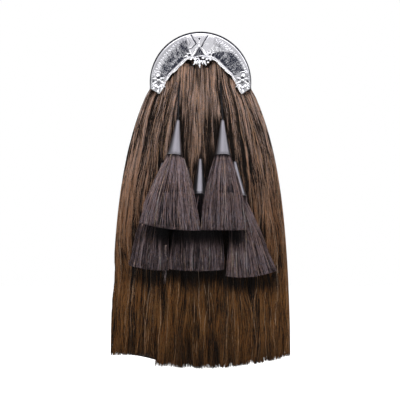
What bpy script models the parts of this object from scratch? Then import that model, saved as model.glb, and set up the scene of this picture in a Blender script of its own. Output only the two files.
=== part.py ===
"""Dress sporran pouch: metal cantle, long horsehair fall, five bell tassels, leather pouch behind.

Metres, +Z up, the front faces -Y. The origin is the middle of the strap line, at the centre of the
cantle's outer arc: the strap runs through the two loops on the back there and holds the pouch up.
"""

import math
from typing import NamedTuple

import bmesh
import bpy
from mathutils import Vector

GAP = 0.0003  # left between pieces that lie on each other

# Cantle: the band between an outer and an inner arc.
CANTLE_R = 0.070
ARCH_R = 0.050
ARCH_CENTRE_Z = -0.015
CANTLE_END_DEG = -6.6  # where the outer arc ends, under the horizontal
ARCH_END_DEG = -1.1
ARCH_FLARE = 0.0060  # how far the arch's ends turn out, from this angle down
ARCH_FLARE_DEG = 24.0
ARCH_PINCH = 0.0036  # how far its two shoulders are drawn in, at this angle
ARCH_PINCH_DEG = 46.0
ARCH_PINCH_REACH_DEG = 28.0
CANTLE_SHEET = 0.0013
CANTLE_STATIONS = 30

# Leather backing, the plane that everything is fixed to.
BACKING_FRONT = -0.0050
BACKING_REAR = -0.0025
BACKING_TOP_R = 0.0694
BACKING_HALF_WIDTH = 0.080
BACKING_ROUND_Z = -0.100  # its bottom is half an ellipse below this height
BACKING_BOTTOM_Z = -0.160

# Pocket, flap and stud on the backing's rear face.
LEATHER = 0.0018
BAG_MOUTH_Z = -0.044
BAG_HALF_WIDTH = 0.058
BAG_DEEP = 0.106
BAG_SQUARENESS = 2.6  # exponent of the U outline: 2 is an ellipse
BAG_STEPS = 26
FLAP_STEPS = 10
STUD_R = 0.0048
STUD_HEIGHT = 0.0026
STUD_Z = -0.088
STUD_STEPS = 16
STUD_PROFILE = ((0.0, 1.0), (0.55, 0.92), (0.88, 0.65), (1.0, 0.28), (0.92, 0.0), (0.0, 0.0))

# Strap loops.
LOOP_X = 0.045
LOOP_WIDTH = 0.024
LOOP_LEATHER = 0.0020

# Hair fall.
HAIR_R_IN_CANTLE = 0.0672
SHOULDER_Z = -0.0105  # the hair leaves the cantle here
SHOULDER_HALF_WIDTH = 0.0718
SPREAD_HALF_WIDTH = 0.127  # what the fall's half width grows towards
SPREAD_LENGTH = 0.115
HAIR_EDGE_SHARE = 0.28  # how far forward of its back the fall's edges lie
HAIR_FLATNESS = 0.6  # under 1 squares off the section
HAIR_STEPS = 24
HEM_Z = -0.3925
HEM_RISE = 0.0185  # the hem curves up this much at the sides
HEM_HALF_WIDTH = 0.124
TRIM_Z = -0.3745  # the left corner is cut straight at this height
TRIM_INNER_X = -0.055
TRIM_OUTER_X = -0.070

# Cast mounts on the cantle.
MOUNT_Y = -0.0285
MOUNT_HALF_DEPTH = 0.0026
BLOB_SECTORS, BLOB_BELTS = 7, 5
THISTLE_X = 0.0575
THISTLE_Z = 0.0

# Tassels.
CONE_TIP_R = 0.0025
CONE_BASE_R = 0.0114
CONE_WALL = 0.0012
CONE_TIP_WALL = 0.00075
CONE_STEPS = 20
CONE_HOLLOW = 0.02  # how far its sides bow in, as a share of what it widens by
THONG_D = 0.0026
THONG_POINT_EVERY = 2.5  # in thong diameters
THONG_IN_CONE = 0.006
THONG_BEFORE_CONE = 0.004
SKIRT_POINTS = 20
STEM_INSET = 0.010  # how far the hair's stem reaches up into its cone
STEM_R = 0.0060
NECK_DROP = 0.0004  # from the cone's base
NECK_R = 0.0093
COLLAR_DROP = 0.0012
COLLAR_R = 0.0118

SILVER = ((0.74, 0.74, 0.76), 0.28, 1.0)
LEATHER_BLACK = ((0.022, 0.020, 0.020), 0.45, 0.0)
HAIR_BROWN = ((0.085, 0.050, 0.030), 0.55, 0.0)
HAIR_DARK = ((0.055, 0.045, 0.050), 0.55, 0.0)


class CantleRow(NamedTuple):
    """One line along the cantle: its place between the outer and the inner arc, and its y."""

    share: float
    y: float


CANTLE_ROWS = (
    CantleRow(0.00, -0.0053),
    CantleRow(0.00, -0.0125),
    CantleRow(0.00, -0.0195),
    CantleRow(0.07, -0.0225),
    CantleRow(0.30, -0.0246),
    CantleRow(0.65, -0.0254),
    CantleRow(1.00, -0.0248),
    CantleRow(1.00, -0.0232),
)


class BagRow(NamedTuple):
    """One line round the pocket: its share of the outline's radius, an extra width, and its y."""

    share: float
    extra: float
    y: float


BAG_ROWS = (
    BagRow(1.00, 0.0050, -0.0013),
    BagRow(1.00, 0.0012, -0.0013),
    BagRow(1.00, 0.0000, 0.0004),
    BagRow(1.00, -0.0006, 0.0055),
    BagRow(0.985, -0.0010, 0.0080),
    BagRow(0.93, 0.0000, 0.0096),
    BagRow(0.70, 0.0000, 0.0106),
    BagRow(0.38, 0.0000, 0.0106),
    BagRow(0.00, 0.0000, 0.0098),
)


class StripRow(NamedTuple):
    """One line across a leather strip: its y, z and half width."""

    y: float
    z: float
    half_width: float


FLAP_ROWS = (
    StripRow(-0.0013, -0.0225, 0.050),
    StripRow(-0.0013, -0.0310, 0.050),
    StripRow(0.0005, -0.0360, 0.0505),
    StripRow(0.0045, -0.0395, 0.051),
    StripRow(0.0104, -0.0402, 0.0515),
    StripRow(0.0139, -0.0438, 0.052),
    StripRow(0.0147, -0.0510, 0.052),
    StripRow(0.0147, -0.0760, 0.050),
    StripRow(0.0147, -0.0910, 0.043),
    StripRow(0.0147, -0.0995, 0.031),
    StripRow(0.0147, -0.1030, 0.016),
)

LOOP_ROWS = (
    StripRow(-0.0012, 0.0210, LOOP_WIDTH / 2),
    StripRow(-0.0012, 0.0156, LOOP_WIDTH / 2),
    StripRow(0.0022, 0.0142, LOOP_WIDTH / 2),
    StripRow(0.0036, 0.0120, LOOP_WIDTH / 2),
    StripRow(0.0036, -0.0120, LOOP_WIDTH / 2),
    StripRow(0.0022, -0.0142, LOOP_WIDTH / 2),
    StripRow(-0.0012, -0.0156, LOOP_WIDTH / 2),
    StripRow(-0.0012, -0.0210, LOOP_WIDTH / 2),
)


class HairLevel(NamedTuple):
    """One level of the hair fall: its height, and how far forward and back it comes."""

    z: float
    front: float
    back: float


HAIR_LEVELS = (
    HairLevel(0.052, -0.0172, -0.0056),
    HairLevel(0.040, -0.0182, -0.0056),
    HairLevel(0.025, -0.0190, -0.0056),
    HairLevel(0.010, -0.0201, -0.0056),
    HairLevel(-0.003, -0.0212, -0.0056),
    HairLevel(-0.010, -0.0222, -0.0056),
    HairLevel(-0.016, -0.0232, -0.0056),
    HairLevel(-0.028, -0.0243, -0.0056),
    HairLevel(-0.045, -0.0256, -0.0056),
    HairLevel(-0.065, -0.0264, -0.0056),
    HairLevel(-0.090, -0.0269, -0.0056),
    HairLevel(-0.120, -0.0272, -0.0056),
    HairLevel(-0.155, -0.0274, -0.0056),
    HairLevel(-0.195, -0.0275, -0.0042),
    HairLevel(-0.235, -0.0275, -0.0032),
    HairLevel(-0.270, -0.0277, -0.0024),
    HairLevel(-0.300, -0.0300, -0.0016),
    HairLevel(-0.335, -0.0320, -0.0010),
    HairLevel(-0.364, -0.0322, -0.0005),
)
HEM_FRONT = -0.0315
HEM_BACK = 0.0


class Blob(NamedTuple):
    """A rounded lump of a casting: its centre, half width, half height and turn in degrees."""

    x: float
    z: float
    wide: float
    tall: float
    turn: float


THISTLE_BLOBS = (
    Blob(0.0000, 0.0010, 0.0078, 0.0052, 0),
    Blob(0.0002, 0.0098, 0.0054, 0.0054, 0),
    Blob(-0.0078, -0.0045, 0.0050, 0.0026, 58),
    Blob(0.0072, -0.0012, 0.0042, 0.0026, -30),
    Blob(0.0006, -0.0090, 0.0026, 0.0066, 4),
    Blob(-0.0084, 0.0046, 0.0034, 0.0026, -50),
)

CENTRE_BLOBS = (
    Blob(0.0000, 0.0268, 0.0028, 0.0080, 0),
    Blob(-0.0056, 0.0294, 0.0064, 0.0030, 52),
    Blob(0.0056, 0.0294, 0.0064, 0.0030, -52),
    Blob(-0.0108, 0.0328, 0.0046, 0.0034, 20),
    Blob(0.0104, 0.0328, 0.0046, 0.0034, -20),
    Blob(-0.0130, 0.0378, 0.0040, 0.0040, 0),
    Blob(0.0118, 0.0378, 0.0040, 0.0040, 0),
)
PANEL_TOP_Z, PANEL_TOP_HALF = 0.0515, 0.0034
PANEL_LOW_Z, PANEL_LOW_HALF = 0.0335, 0.0120
PANEL_X = -0.0010
PANEL_HALF_DEPTH = 0.0012


class SkirtRow(NamedTuple):
    """One section of a tassel's skirt: its share of the way down, its y and its half depth."""

    share: float
    y: float
    half_depth: float


UPPER_SKIRT = (  # leans out over the lower cones
    SkirtRow(0.060, -0.0408, 0.0114),
    SkirtRow(0.150, -0.0440, 0.0105),
    SkirtRow(0.300, -0.0506, 0.0095),
    SkirtRow(0.500, -0.0585, 0.0085),
    SkirtRow(0.750, -0.0610, 0.0080),
    SkirtRow(1.000, -0.0625, 0.0075),
)
LOWER_SKIRT = (  # lies on the hair fall
    SkirtRow(0.060, -0.0394, 0.0113),
    SkirtRow(0.150, -0.0393, 0.0110),
    SkirtRow(0.300, -0.0391, 0.0108),
    SkirtRow(0.500, -0.0389, 0.0105),
    SkirtRow(0.750, -0.0387, 0.0102),
    SkirtRow(1.000, -0.0385, 0.0100),
)


class Edges(NamedTuple):
    """Where a skirt's left and right edges lie at one of its rows."""

    left: float
    right: float


class Tassel(NamedTuple):
    """A tassel: the thong's route, the cone's tip and base, and the skirt's rows and hem.

    The hem's height is that of its middle. It changes by hem_tilt times the distance to the
    right, and rises by hem_sweep times the square of the distance.
    """

    name: str
    route: tuple
    tip: tuple
    base: tuple
    hem_z: float
    hem_tilt: float
    hem_sweep: float
    skirt: tuple
    edges: tuple


TASSELS = (
    Tassel(
        name="upper_left",
        route=(
            (-0.0270, -0.0202, 0.0360),
            (-0.0285, -0.0209, 0.0200),
            (-0.0295, -0.0224, 0.0000),
            (-0.0302, -0.0252, -0.0250),
        ),
        tip=(-0.0309, -0.0290, -0.0522),
        base=(-0.0355, -0.0394, -0.1012),
        hem_z=-0.2022,
        hem_tilt=-0.124,
        hem_sweep=1.9,
        skirt=UPPER_SKIRT,
        edges=(
            Edges(-0.0490, -0.0205),
            Edges(-0.0538, -0.0175),
            Edges(-0.0615, -0.0135),
            Edges(-0.0705, -0.0090),
            Edges(-0.0800, -0.0042),
            Edges(-0.0840, 0.0008),
        ),
    ),
    Tassel(
        name="upper_right",
        route=(
            (0.0235, -0.0202, 0.0380),
            (0.0252, -0.0209, 0.0200),
            (0.0272, -0.0224, 0.0000),
            (0.0290, -0.0252, -0.0250),
        ),
        tip=(0.0302, -0.0290, -0.0522),
        base=(0.0306, -0.0394, -0.1012),
        hem_z=-0.2038,
        hem_tilt=0.0,
        hem_sweep=0.4,
        skirt=UPPER_SKIRT,
        edges=(
            Edges(0.0174, 0.0436),
            Edges(0.0145, 0.0469),
            Edges(0.0100, 0.0512),
            Edges(0.0052, 0.0572),
            Edges(0.0018, 0.0608),
            Edges(0.0016, 0.0630),
        ),
    ),
    Tassel(
        name="lower_left",
        route=(
            (-0.0515, -0.0196, 0.0110),
            (-0.0500, -0.0208, -0.0040),
            (-0.0504, -0.0230, -0.0210),
            (-0.0511, -0.0260, -0.0500),
            (-0.0514, -0.0276, -0.0800),
        ),
        tip=(-0.0515, -0.0298, -0.1112),
        base=(-0.0570, -0.0394, -0.1578),
        hem_z=-0.2578,
        hem_tilt=-0.126,
        hem_sweep=3.0,
        skirt=LOWER_SKIRT,
        edges=(
            Edges(-0.0712, -0.0448),
            Edges(-0.0757, -0.0444),
            Edges(-0.0818, -0.0442),
            Edges(-0.0887, -0.0440),
            Edges(-0.0938, -0.0440),
            Edges(-0.0980, -0.0442),
        ),
    ),
    Tassel(
        name="lower_middle",
        route=(
            (0.0000, -0.0202, 0.0400),
            (0.0000, -0.0213, 0.0200),
            (0.0000, -0.0230, 0.0000),
            (-0.0002, -0.0263, -0.0300),
            (-0.0003, -0.0282, -0.0650),
        ),
        tip=(-0.0003, -0.0298, -0.1057),
        base=(-0.0010, -0.0394, -0.1550),
        hem_z=-0.2600,
        hem_tilt=-0.010,
        hem_sweep=1.7,
        skirt=LOWER_SKIRT,
        edges=(
            Edges(-0.0172, 0.0142),
            Edges(-0.0235, 0.0185),
            Edges(-0.0315, 0.0245),
            Edges(-0.0390, 0.0300),
            Edges(-0.0420, 0.0320),
            Edges(-0.0425, 0.0318),
        ),
    ),
    Tassel(
        name="lower_right",
        route=(
            (0.0510, -0.0196, 0.0120),
            (0.0495, -0.0208, -0.0030),
            (0.0494, -0.0230, -0.0210),
            (0.0484, -0.0260, -0.0500),
            (0.0475, -0.0276, -0.0800),
        ),
        tip=(0.0468, -0.0298, -0.1094),
        base=(0.0523, -0.0394, -0.1578),
        hem_z=-0.2680,
        hem_tilt=0.110,
        hem_sweep=4.0,
        skirt=LOWER_SKIRT,
        edges=(
            Edges(0.0396, 0.0640),
            Edges(0.0392, 0.0685),
            Edges(0.0388, 0.0765),
            Edges(0.0384, 0.0858),
            Edges(0.0370, 0.0950),
            Edges(0.0350, 0.1050),
        ),
    ),
)

# ---------------------------------------------------------------- scene and materials


def clear_scene():
    """Remove every object and collection."""
    for obj in list(bpy.data.objects):
        bpy.data.objects.remove(obj, do_unlink=True)
    for collection in list(bpy.data.collections):
        bpy.data.collections.remove(collection)


def new_collection(name):
    collection = bpy.data.collections.new(name)
    bpy.context.scene.collection.children.link(collection)
    return collection


def material_for(name, finish):
    """A Principled material with the finish's colour, roughness and metallic value."""
    colour, roughness, metallic = finish
    material = bpy.data.materials.new(name)
    material.use_nodes = True
    shader = material.node_tree.nodes["Principled BSDF"]
    shader.inputs["Base Color"].default_value = (*colour, 1.0)
    shader.inputs["Roughness"].default_value = roughness
    shader.inputs["Metallic"].default_value = metallic
    material.diffuse_color = (*colour, 1.0)
    return material


def add_part(name, data, finish):
    """An object for one sub-part, in the part's collection, under the frame's empty."""
    obj = bpy.data.objects.new(name, data)
    PARTS.objects.link(obj)
    obj.parent = FRAME_EMPTY
    data.materials.append(material_for(name, finish))
    return obj


# ---------------------------------------------------------------- shared shapes


def sheet_mesh(name, along, across, place):
    """A grid primitive whose points are moved to place(u, v), with u and v from 0 to 1."""
    bm = bmesh.new()
    bmesh.ops.create_grid(bm, x_segments=along, y_segments=across, size=0.5)
    for vert in bm.verts:
        vert.co = place(vert.co.x + 0.5, vert.co.y + 0.5)
    bmesh.ops.remove_doubles(bm, verts=bm.verts, dist=1e-6)
    mesh = bpy.data.meshes.new(name)
    bm.to_mesh(mesh)
    bm.free()
    return mesh


def row_at(rows, v):
    """The table row that a share v of the way across falls on."""
    return rows[round(v * (len(rows) - 1))]


def solidify(obj, thickness, side):
    """Give an open surface its wall. Side -1 puts it behind the surface, 0 on both sides."""
    modifier = obj.modifiers.new("Wall", "SOLIDIFY")
    modifier.thickness = thickness
    modifier.offset = side
    modifier.use_even_offset = True


def loft_mesh(name, rings):
    """Join rings of the same even number of points, from top to bottom, and close both ends.

    Each ring runs along the front from left to right and back along the rear, so an end is
    closed by strips from front to rear and may curve with its ring.
    """
    bm = bmesh.new()
    count = len(rings[0])
    half = count // 2
    grid = [[bm.verts.new(point) for point in ring] for ring in rings]
    for upper, lower in zip(grid, grid[1:]):
        for k in range(count):
            after = (k + 1) % count
            bm.faces.new((upper[k], lower[k], lower[after], upper[after]))
    for ring, flip in ((grid[0], False), (grid[-1], True)):
        for k in range(half):
            strip = (ring[k], ring[k + 1], ring[(count - k - 1) % count], ring[(count - k) % count])
            corners = list(dict.fromkeys(strip))
            bm.faces.new(reversed(corners) if flip else corners)
    mesh = bpy.data.meshes.new(name)
    bm.to_mesh(mesh)
    bm.free()
    return mesh


def turned_mesh(name, profile, closed):
    """The profile of a turned piece, as (radius, height) points down its outer side."""
    count = len(profile)
    edges = [(k, k + 1) for k in range(count - 1)] + ([(count - 1, 0)] if closed else [])
    mesh = bpy.data.meshes.new(name)
    mesh.from_pydata([(radius, 0.0, height) for radius, height in profile], edges, [])
    return mesh


def turn(obj, steps):
    """Turn the object's profile about its own Z axis."""
    modifier = obj.modifiers.new("Turn", "SCREW")
    modifier.steps = modifier.render_steps = steps
    modifier.use_merge_vertices = True
    modifier.merge_threshold = 0.0001


def smooth_through(points, step):
    """Points about a step apart on a smooth curve through the given ones."""
    knots = [Vector(point) for point in points]
    padded = [2 * knots[0] - knots[1], *knots, 2 * knots[-1] - knots[-2]]
    fine = []
    for p0, p1, p2, p3 in zip(padded, padded[1:], padded[2:], padded[3:]):
        pieces = max(1, round((p2 - p1).length / step))
        for k in range(pieces):
            t = k / pieces
            fine.append(
                0.5 * (2 * p1 + (p2 - p0) * t + (2 * p0 - 5 * p1 + 4 * p2 - p3) * t**2
                       + (3 * p1 - p0 - 3 * p2 + p3) * t**3)
            )
    fine.append(knots[-1])
    return fine


# ---------------------------------------------------------------- metalwork


def arch_point(angle):
    """A point of the arch's edge: a circle with its shoulders drawn in and its ends turned out."""
    over_end = min(math.degrees(angle), 180 - math.degrees(angle))
    flare = ARCH_FLARE * max(0.0, 1 - over_end / ARCH_FLARE_DEG) ** 2
    off_pinch = min(1.0, abs(over_end - ARCH_PINCH_DEG) / ARCH_PINCH_REACH_DEG)
    radius = ARCH_R - ARCH_PINCH * math.cos(math.pi / 2 * off_pinch) ** 2
    x = radius * math.cos(angle)
    return Vector((x + math.copysign(flare, x), 0.0, ARCH_CENTRE_Z + radius * math.sin(angle)))


def cantle_point(u, v):
    """A point of the cantle's outer surface: u along the arc, v from the rear edge to the arch."""
    row = row_at(CANTLE_ROWS, v)
    outer_angle = math.radians(CANTLE_END_DEG + u * (180 - 2 * CANTLE_END_DEG))
    inner_angle = math.radians(ARCH_END_DEG + u * (180 - 2 * ARCH_END_DEG))
    outer = Vector((CANTLE_R * math.cos(outer_angle), 0.0, CANTLE_R * math.sin(outer_angle)))
    point = outer.lerp(arch_point(inner_angle), row.share)
    point.y = row.y
    return point


def make_cantle():
    mesh = sheet_mesh("cantle_plate", CANTLE_STATIONS, len(CANTLE_ROWS) - 1, cantle_point)
    plate = add_part("cantle_plate", mesh, SILVER)
    solidify(plate, CANTLE_SHEET, -1)
    return plate


def blob_mesh(name, blob, origin_x, origin_z, mirror):
    """A flattened sphere primitive for one lump of a casting."""
    bm = bmesh.new()
    bmesh.ops.create_uvsphere(bm, u_segments=BLOB_SECTORS, v_segments=BLOB_BELTS, radius=1.0)
    turned = math.radians(blob.turn)
    for vert in bm.verts:
        x, z = vert.co.x * blob.wide, vert.co.z * blob.tall
        turned_x = blob.x + x * math.cos(turned) - z * math.sin(turned)
        turned_z = blob.z + x * math.sin(turned) + z * math.cos(turned)
        side = -1 if mirror else 1
        vert.co = (
            origin_x + side * turned_x,
            MOUNT_Y + vert.co.y * MOUNT_HALF_DEPTH,
            origin_z + turned_z,
        )
    if mirror:
        bmesh.ops.reverse_faces(bm, faces=bm.faces)
    mesh = bpy.data.meshes.new(name)
    bm.to_mesh(mesh)
    bm.free()
    return mesh


def panel_mesh(name):
    """The centre mount's panel: a box primitive drawn in towards its top."""
    bm = bmesh.new()
    bmesh.ops.create_cube(bm, size=2.0)
    for vert in bm.verts:
        at_top = vert.co.z > 0
        half = PANEL_TOP_HALF if at_top else PANEL_LOW_HALF
        vert.co = (
            PANEL_X + vert.co.x * half,
            MOUNT_Y + vert.co.y * PANEL_HALF_DEPTH,
            PANEL_TOP_Z if at_top else PANEL_LOW_Z,
        )
    mesh = bpy.data.meshes.new(name)
    bm.to_mesh(mesh)
    bm.free()
    return mesh


def join_castings(obj, lumps):
    """Unite the object with the other lumps, which stay as hidden guides."""
    for mesh in lumps:
        guide = bpy.data.objects.new(mesh.name, mesh)
        CUTTERS.objects.link(guide)
        guide.parent = FRAME_EMPTY
        guide.hide_render = True
        guide.display_type = "WIRE"
        modifier = obj.modifiers.new("Union", "BOOLEAN")
        modifier.operation = "UNION"
        modifier.solver = "EXACT"
        modifier.object = guide


def make_thistle(name, mirror):
    origin_x = THISTLE_X if mirror else -THISTLE_X
    lumps = [
        blob_mesh(f"{name}_lump_{k}", blob, origin_x, THISTLE_Z, mirror)
        for k, blob in enumerate(THISTLE_BLOBS)
    ]
    thistle = add_part(name, lumps[0], SILVER)
    join_castings(thistle, lumps[1:])
    return thistle


def make_centre_mount():
    mount = add_part("centre_mount", panel_mesh("centre_mount"), SILVER)
    lumps = [
        blob_mesh(f"centre_lump_{k}", blob, 0.0, 0.0, False) for k, blob in enumerate(CENTRE_BLOBS)
    ]
    join_castings(mount, lumps)
    return mount


# ---------------------------------------------------------------- leather pouch


def backing_outline():
    """Half a circle over straight sides over half an ellipse, going round once."""
    arc_steps, round_steps = 24, 20
    top = [
        (BACKING_TOP_R * math.cos(a), BACKING_TOP_R * math.sin(a))
        for a in (math.pi * k / arc_steps for k in range(arc_steps + 1))
    ]
    deep = BACKING_ROUND_Z - BACKING_BOTTOM_Z
    bottom = [
        (-BACKING_HALF_WIDTH * math.cos(a), BACKING_ROUND_Z - deep * math.sin(a))
        for a in (math.pi * k / round_steps for k in range(round_steps + 1))
    ]
    return top + bottom


def make_backing():
    outline = backing_outline()
    curve = bpy.data.curves.new("leather_backing", "CURVE")
    curve.dimensions = "2D"
    curve.fill_mode = "BOTH"
    curve.extrude = (BACKING_REAR - BACKING_FRONT) / 2
    spline = curve.splines.new("POLY")
    spline.points.add(len(outline) - 1)
    for point, (x, z) in zip(spline.points, outline):
        point.co = (x, z, 0.0, 1.0)
    spline.use_cyclic_u = True
    backing = add_part("leather_backing", curve, LEATHER_BLACK)
    backing.location.y = (BACKING_REAR + BACKING_FRONT) / 2
    backing.rotation_euler.x = math.radians(90)
    return backing


def bag_point(u, v):
    """A point in the middle of the pocket's wall: u round the U outline, v from flange to middle."""
    row = row_at(BAG_ROWS, v)
    angle = math.pi * u
    away = Vector((-math.cos(angle), 0.0, -math.sin(angle)))
    n = BAG_SQUARENESS
    reach = (abs(away.x / BAG_HALF_WIDTH) ** n + abs(away.z / BAG_DEEP) ** n) ** (-1 / n)
    point = Vector((0.0, 0.0, BAG_MOUTH_Z)) + away * (row.share * reach + row.extra)
    point.y = row.y
    return point


def make_bag():
    mesh = sheet_mesh("pouch_bag", BAG_STEPS, len(BAG_ROWS) - 1, bag_point)
    bag = add_part("pouch_bag", mesh, LEATHER_BLACK)
    solidify(bag, LEATHER, 0)
    return bag


def make_strip(name, rows, middle_x, columns, thickness):
    """A bent leather strip: rows down its length, straight across."""

    def place(u, v):
        row = row_at(rows, v)
        return Vector((middle_x + (2 * u - 1) * row.half_width, row.y, row.z))

    strip = add_part(name, sheet_mesh(name, columns, len(rows) - 1, place), LEATHER_BLACK)
    solidify(strip, thickness, 0)
    return strip


def make_stud():
    profile = [(out * STUD_R, up * STUD_HEIGHT) for out, up in STUD_PROFILE]
    stud = add_part("flap_stud", turned_mesh("flap_stud", profile, False), SILVER)
    turn(stud, STUD_STEPS)
    stud.location = (0.0, FLAP_ROWS[-1].y + LEATHER / 2 + GAP, STUD_Z)
    stud.rotation_euler.x = math.radians(-90)
    return stud


# ---------------------------------------------------------------- hair fall


def hair_half_width(z):
    if z > SHOULDER_Z:
        return math.sqrt(HAIR_R_IN_CANTLE**2 - z**2)
    growth = SPREAD_HALF_WIDTH - SHOULDER_HALF_WIDTH
    return SPREAD_HALF_WIDTH - growth * math.exp((z - SHOULDER_Z) / SPREAD_LENGTH)


def hem_z(x):
    """The hem's height at x: an arc, with the left corner cut straight."""
    arc = HEM_Z + HEM_RISE * (x / HEM_HALF_WIDTH) ** 2
    share = (TRIM_INNER_X - x) / (TRIM_INNER_X - TRIM_OUTER_X)
    return arc + min(1.0, max(0.0, share)) * max(0.0, TRIM_Z - arc)


def hair_ring(half_width, front, back, height):
    """One section of the fall, with its height given as a function of x."""
    edge = back + HAIR_EDGE_SHARE * (front - back)
    ring = []
    for k in range(2 * HAIR_STEPS):
        angle = math.pi * k / HAIR_STEPS
        x = -half_width * math.cos(angle)
        bulge = abs(math.sin(angle)) ** HAIR_FLATNESS
        reach = (front if k < HAIR_STEPS else back) - edge
        ring.append((x, edge + reach * bulge, height(x)))
    return ring


def make_hair():
    rings = [
        hair_ring(hair_half_width(level.z), level.front, level.back, lambda x, z=level.z: z)
        for level in HAIR_LEVELS
    ]
    rings.append(hair_ring(HEM_HALF_WIDTH, HEM_FRONT, HEM_BACK, hem_z))
    return add_part("hair_body", loft_mesh("hair_body", rings), HAIR_BROWN)


# ---------------------------------------------------------------- tassels


def make_thong(tassel):
    """The round thong, from under the cantle into the cone's tip."""
    tip = Vector(tassel.tip)
    along = (Vector(tassel.base) - tip).normalized()
    route = [*tassel.route, tip - THONG_BEFORE_CONE * along, tip + THONG_IN_CONE * along]
    points = smooth_through(route, THONG_POINT_EVERY * THONG_D)
    curve = bpy.data.curves.new(f"thong_{tassel.name}", "CURVE")
    curve.dimensions = "3D"
    curve.bevel_depth = THONG_D / 2
    curve.bevel_resolution = 2
    curve.use_fill_caps = True
    spline = curve.splines.new("POLY")
    spline.points.add(len(points) - 1)
    for slot, point in zip(spline.points, points):
        slot.co = (*point, 1.0)
    return add_part(f"thong_{tassel.name}", curve, LEATHER_BLACK)


def make_cone(tassel):
    """The hollow bell cone, hanging from its tip along its own -Z."""
    tip, base = Vector(tassel.tip), Vector(tassel.base)
    length = (base - tip).length
    middle_r = (CONE_TIP_R + CONE_BASE_R) / 2 - CONE_HOLLOW * (CONE_BASE_R - CONE_TIP_R)
    profile = [
        (CONE_TIP_R, 0.0),
        (middle_r, -length / 2),
        (CONE_BASE_R, -length),
        (CONE_BASE_R - CONE_WALL, -length),
        (middle_r - CONE_WALL, -length / 2),
        (CONE_TIP_R - CONE_TIP_WALL, 0.0),
    ]
    name = f"cone_{tassel.name}"
    cone = add_part(name, turned_mesh(name, profile, True), LEATHER_BLACK)
    turn(cone, CONE_STEPS)
    cone.location = tip
    cone.rotation_euler = (base - tip).to_track_quat("-Z", "Y").to_euler()
    return cone


def skirt_sections(tassel):
    """(centre, across, rear, half width, half depth) of each section, from stem to hem."""
    tip, base = Vector(tassel.tip), Vector(tassel.base)
    out_of_cone = (base - tip).normalized()
    across = Vector((-out_of_cone.z, 0.0, out_of_cone.x)).normalized()
    rear = across.cross(out_of_cone).normalized()
    sections = [
        (base - STEM_INSET * out_of_cone, across, rear, STEM_R, STEM_R),
        (base + NECK_DROP * out_of_cone, across, rear, NECK_R, NECK_R),
        (base + COLLAR_DROP * out_of_cone, across, rear, COLLAR_R, COLLAR_R),
    ]
    centres = [base]
    for row, edges in zip(tassel.skirt, tassel.edges):
        height = base.z + row.share * (tassel.hem_z - base.z)
        centres.append(Vector(((edges.left + edges.right) / 2, row.y, height)))
    for k, (row, edges) in enumerate(zip(tassel.skirt, tassel.edges), start=1):
        down = centres[min(k + 1, len(tassel.skirt))] - centres[k - 1]
        down.x = 0.0
        rear = Vector((1.0, 0.0, 0.0)).cross(down).normalized()
        half_width = (edges.right - edges.left) / 2
        sections.append((centres[k], Vector((1.0, 0.0, 0.0)), rear, half_width, row.half_depth))
    return sections


def make_skirt(tassel):
    """The tassel's hair: a stem inside the cone, and a skirt that fans out to an arched hem."""
    sections = skirt_sections(tassel)
    rings = []
    for k, (centre, across, rear, half_width, half_depth) in enumerate(sections):
        ring = []
        for j in range(SKIRT_POINTS):
            angle = 2 * math.pi * j / SKIRT_POINTS
            sideways = -half_width * math.cos(angle)
            point = centre + sideways * across - half_depth * math.sin(angle) * rear
            if k == len(sections) - 1:
                point.z += tassel.hem_tilt * sideways + tassel.hem_sweep * sideways**2
            ring.append(point)
        rings.append(ring)
    name = f"tassel_{tassel.name}"
    return add_part(name, loft_mesh(name, rings), HAIR_DARK)


# ---------------------------------------------------------------- assembly


clear_scene()
PARTS = new_collection("sporran_pouch")
CUTTERS = new_collection("cutters")
FRAME_EMPTY = bpy.data.objects.new("strap_line", None)
PARTS.objects.link(FRAME_EMPTY)

make_cantle()
make_thistle("thistle_left", False)
make_thistle("thistle_right", True)
make_centre_mount()
make_backing()
make_bag()
make_strip("pouch_flap", FLAP_ROWS, 0.0, FLAP_STEPS, LEATHER)
make_stud()
make_strip("strap_loop_left", LOOP_ROWS, -LOOP_X, 1, LOOP_LEATHER)
make_strip("strap_loop_right", LOOP_ROWS, LOOP_X, 1, LOOP_LEATHER)
make_hair()
for one in TASSELS:
    make_thong(one)
    make_cone(one)
    make_skirt(one)
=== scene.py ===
"""Looks of a horsehair dress sporran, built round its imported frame.

Metres, +Z up, the front faces -Y. The origin is the middle of the strap line, at the centre of the
cantle's outer arc. The cantle's ornament is drawn in millimetres in its own plane, as x and z.
"""

import math
from typing import NamedTuple

import bmesh
import bpy
import numpy as np
from bpy.props import FloatProperty, FloatVectorProperty, IntProperty, PointerProperty
from bpy.types import Operator, Panel, PropertyGroup
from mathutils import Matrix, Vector


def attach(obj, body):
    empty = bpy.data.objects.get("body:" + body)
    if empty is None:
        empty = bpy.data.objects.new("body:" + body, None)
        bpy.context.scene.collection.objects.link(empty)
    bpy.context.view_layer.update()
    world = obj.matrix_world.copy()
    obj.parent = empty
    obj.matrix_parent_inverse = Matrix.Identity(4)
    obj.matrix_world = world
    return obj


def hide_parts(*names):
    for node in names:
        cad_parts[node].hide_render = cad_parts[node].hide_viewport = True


bl_info = {
    "name": "Dress Sporran Looks",
    "version": (1, 0, 0),
    "blender": (4, 5, 0),
    "location": "3D View > Sidebar > Sporran",
    "description": "Builds the looks of a horsehair dress sporran round its packed frame",
    "category": "Object",
}

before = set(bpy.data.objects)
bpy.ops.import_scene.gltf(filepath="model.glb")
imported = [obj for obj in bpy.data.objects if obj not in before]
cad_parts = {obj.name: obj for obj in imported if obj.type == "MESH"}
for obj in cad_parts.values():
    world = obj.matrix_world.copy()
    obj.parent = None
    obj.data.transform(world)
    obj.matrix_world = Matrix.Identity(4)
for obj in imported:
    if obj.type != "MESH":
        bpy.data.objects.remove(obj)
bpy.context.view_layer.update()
MM = 0.001
SEED = 7

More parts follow.
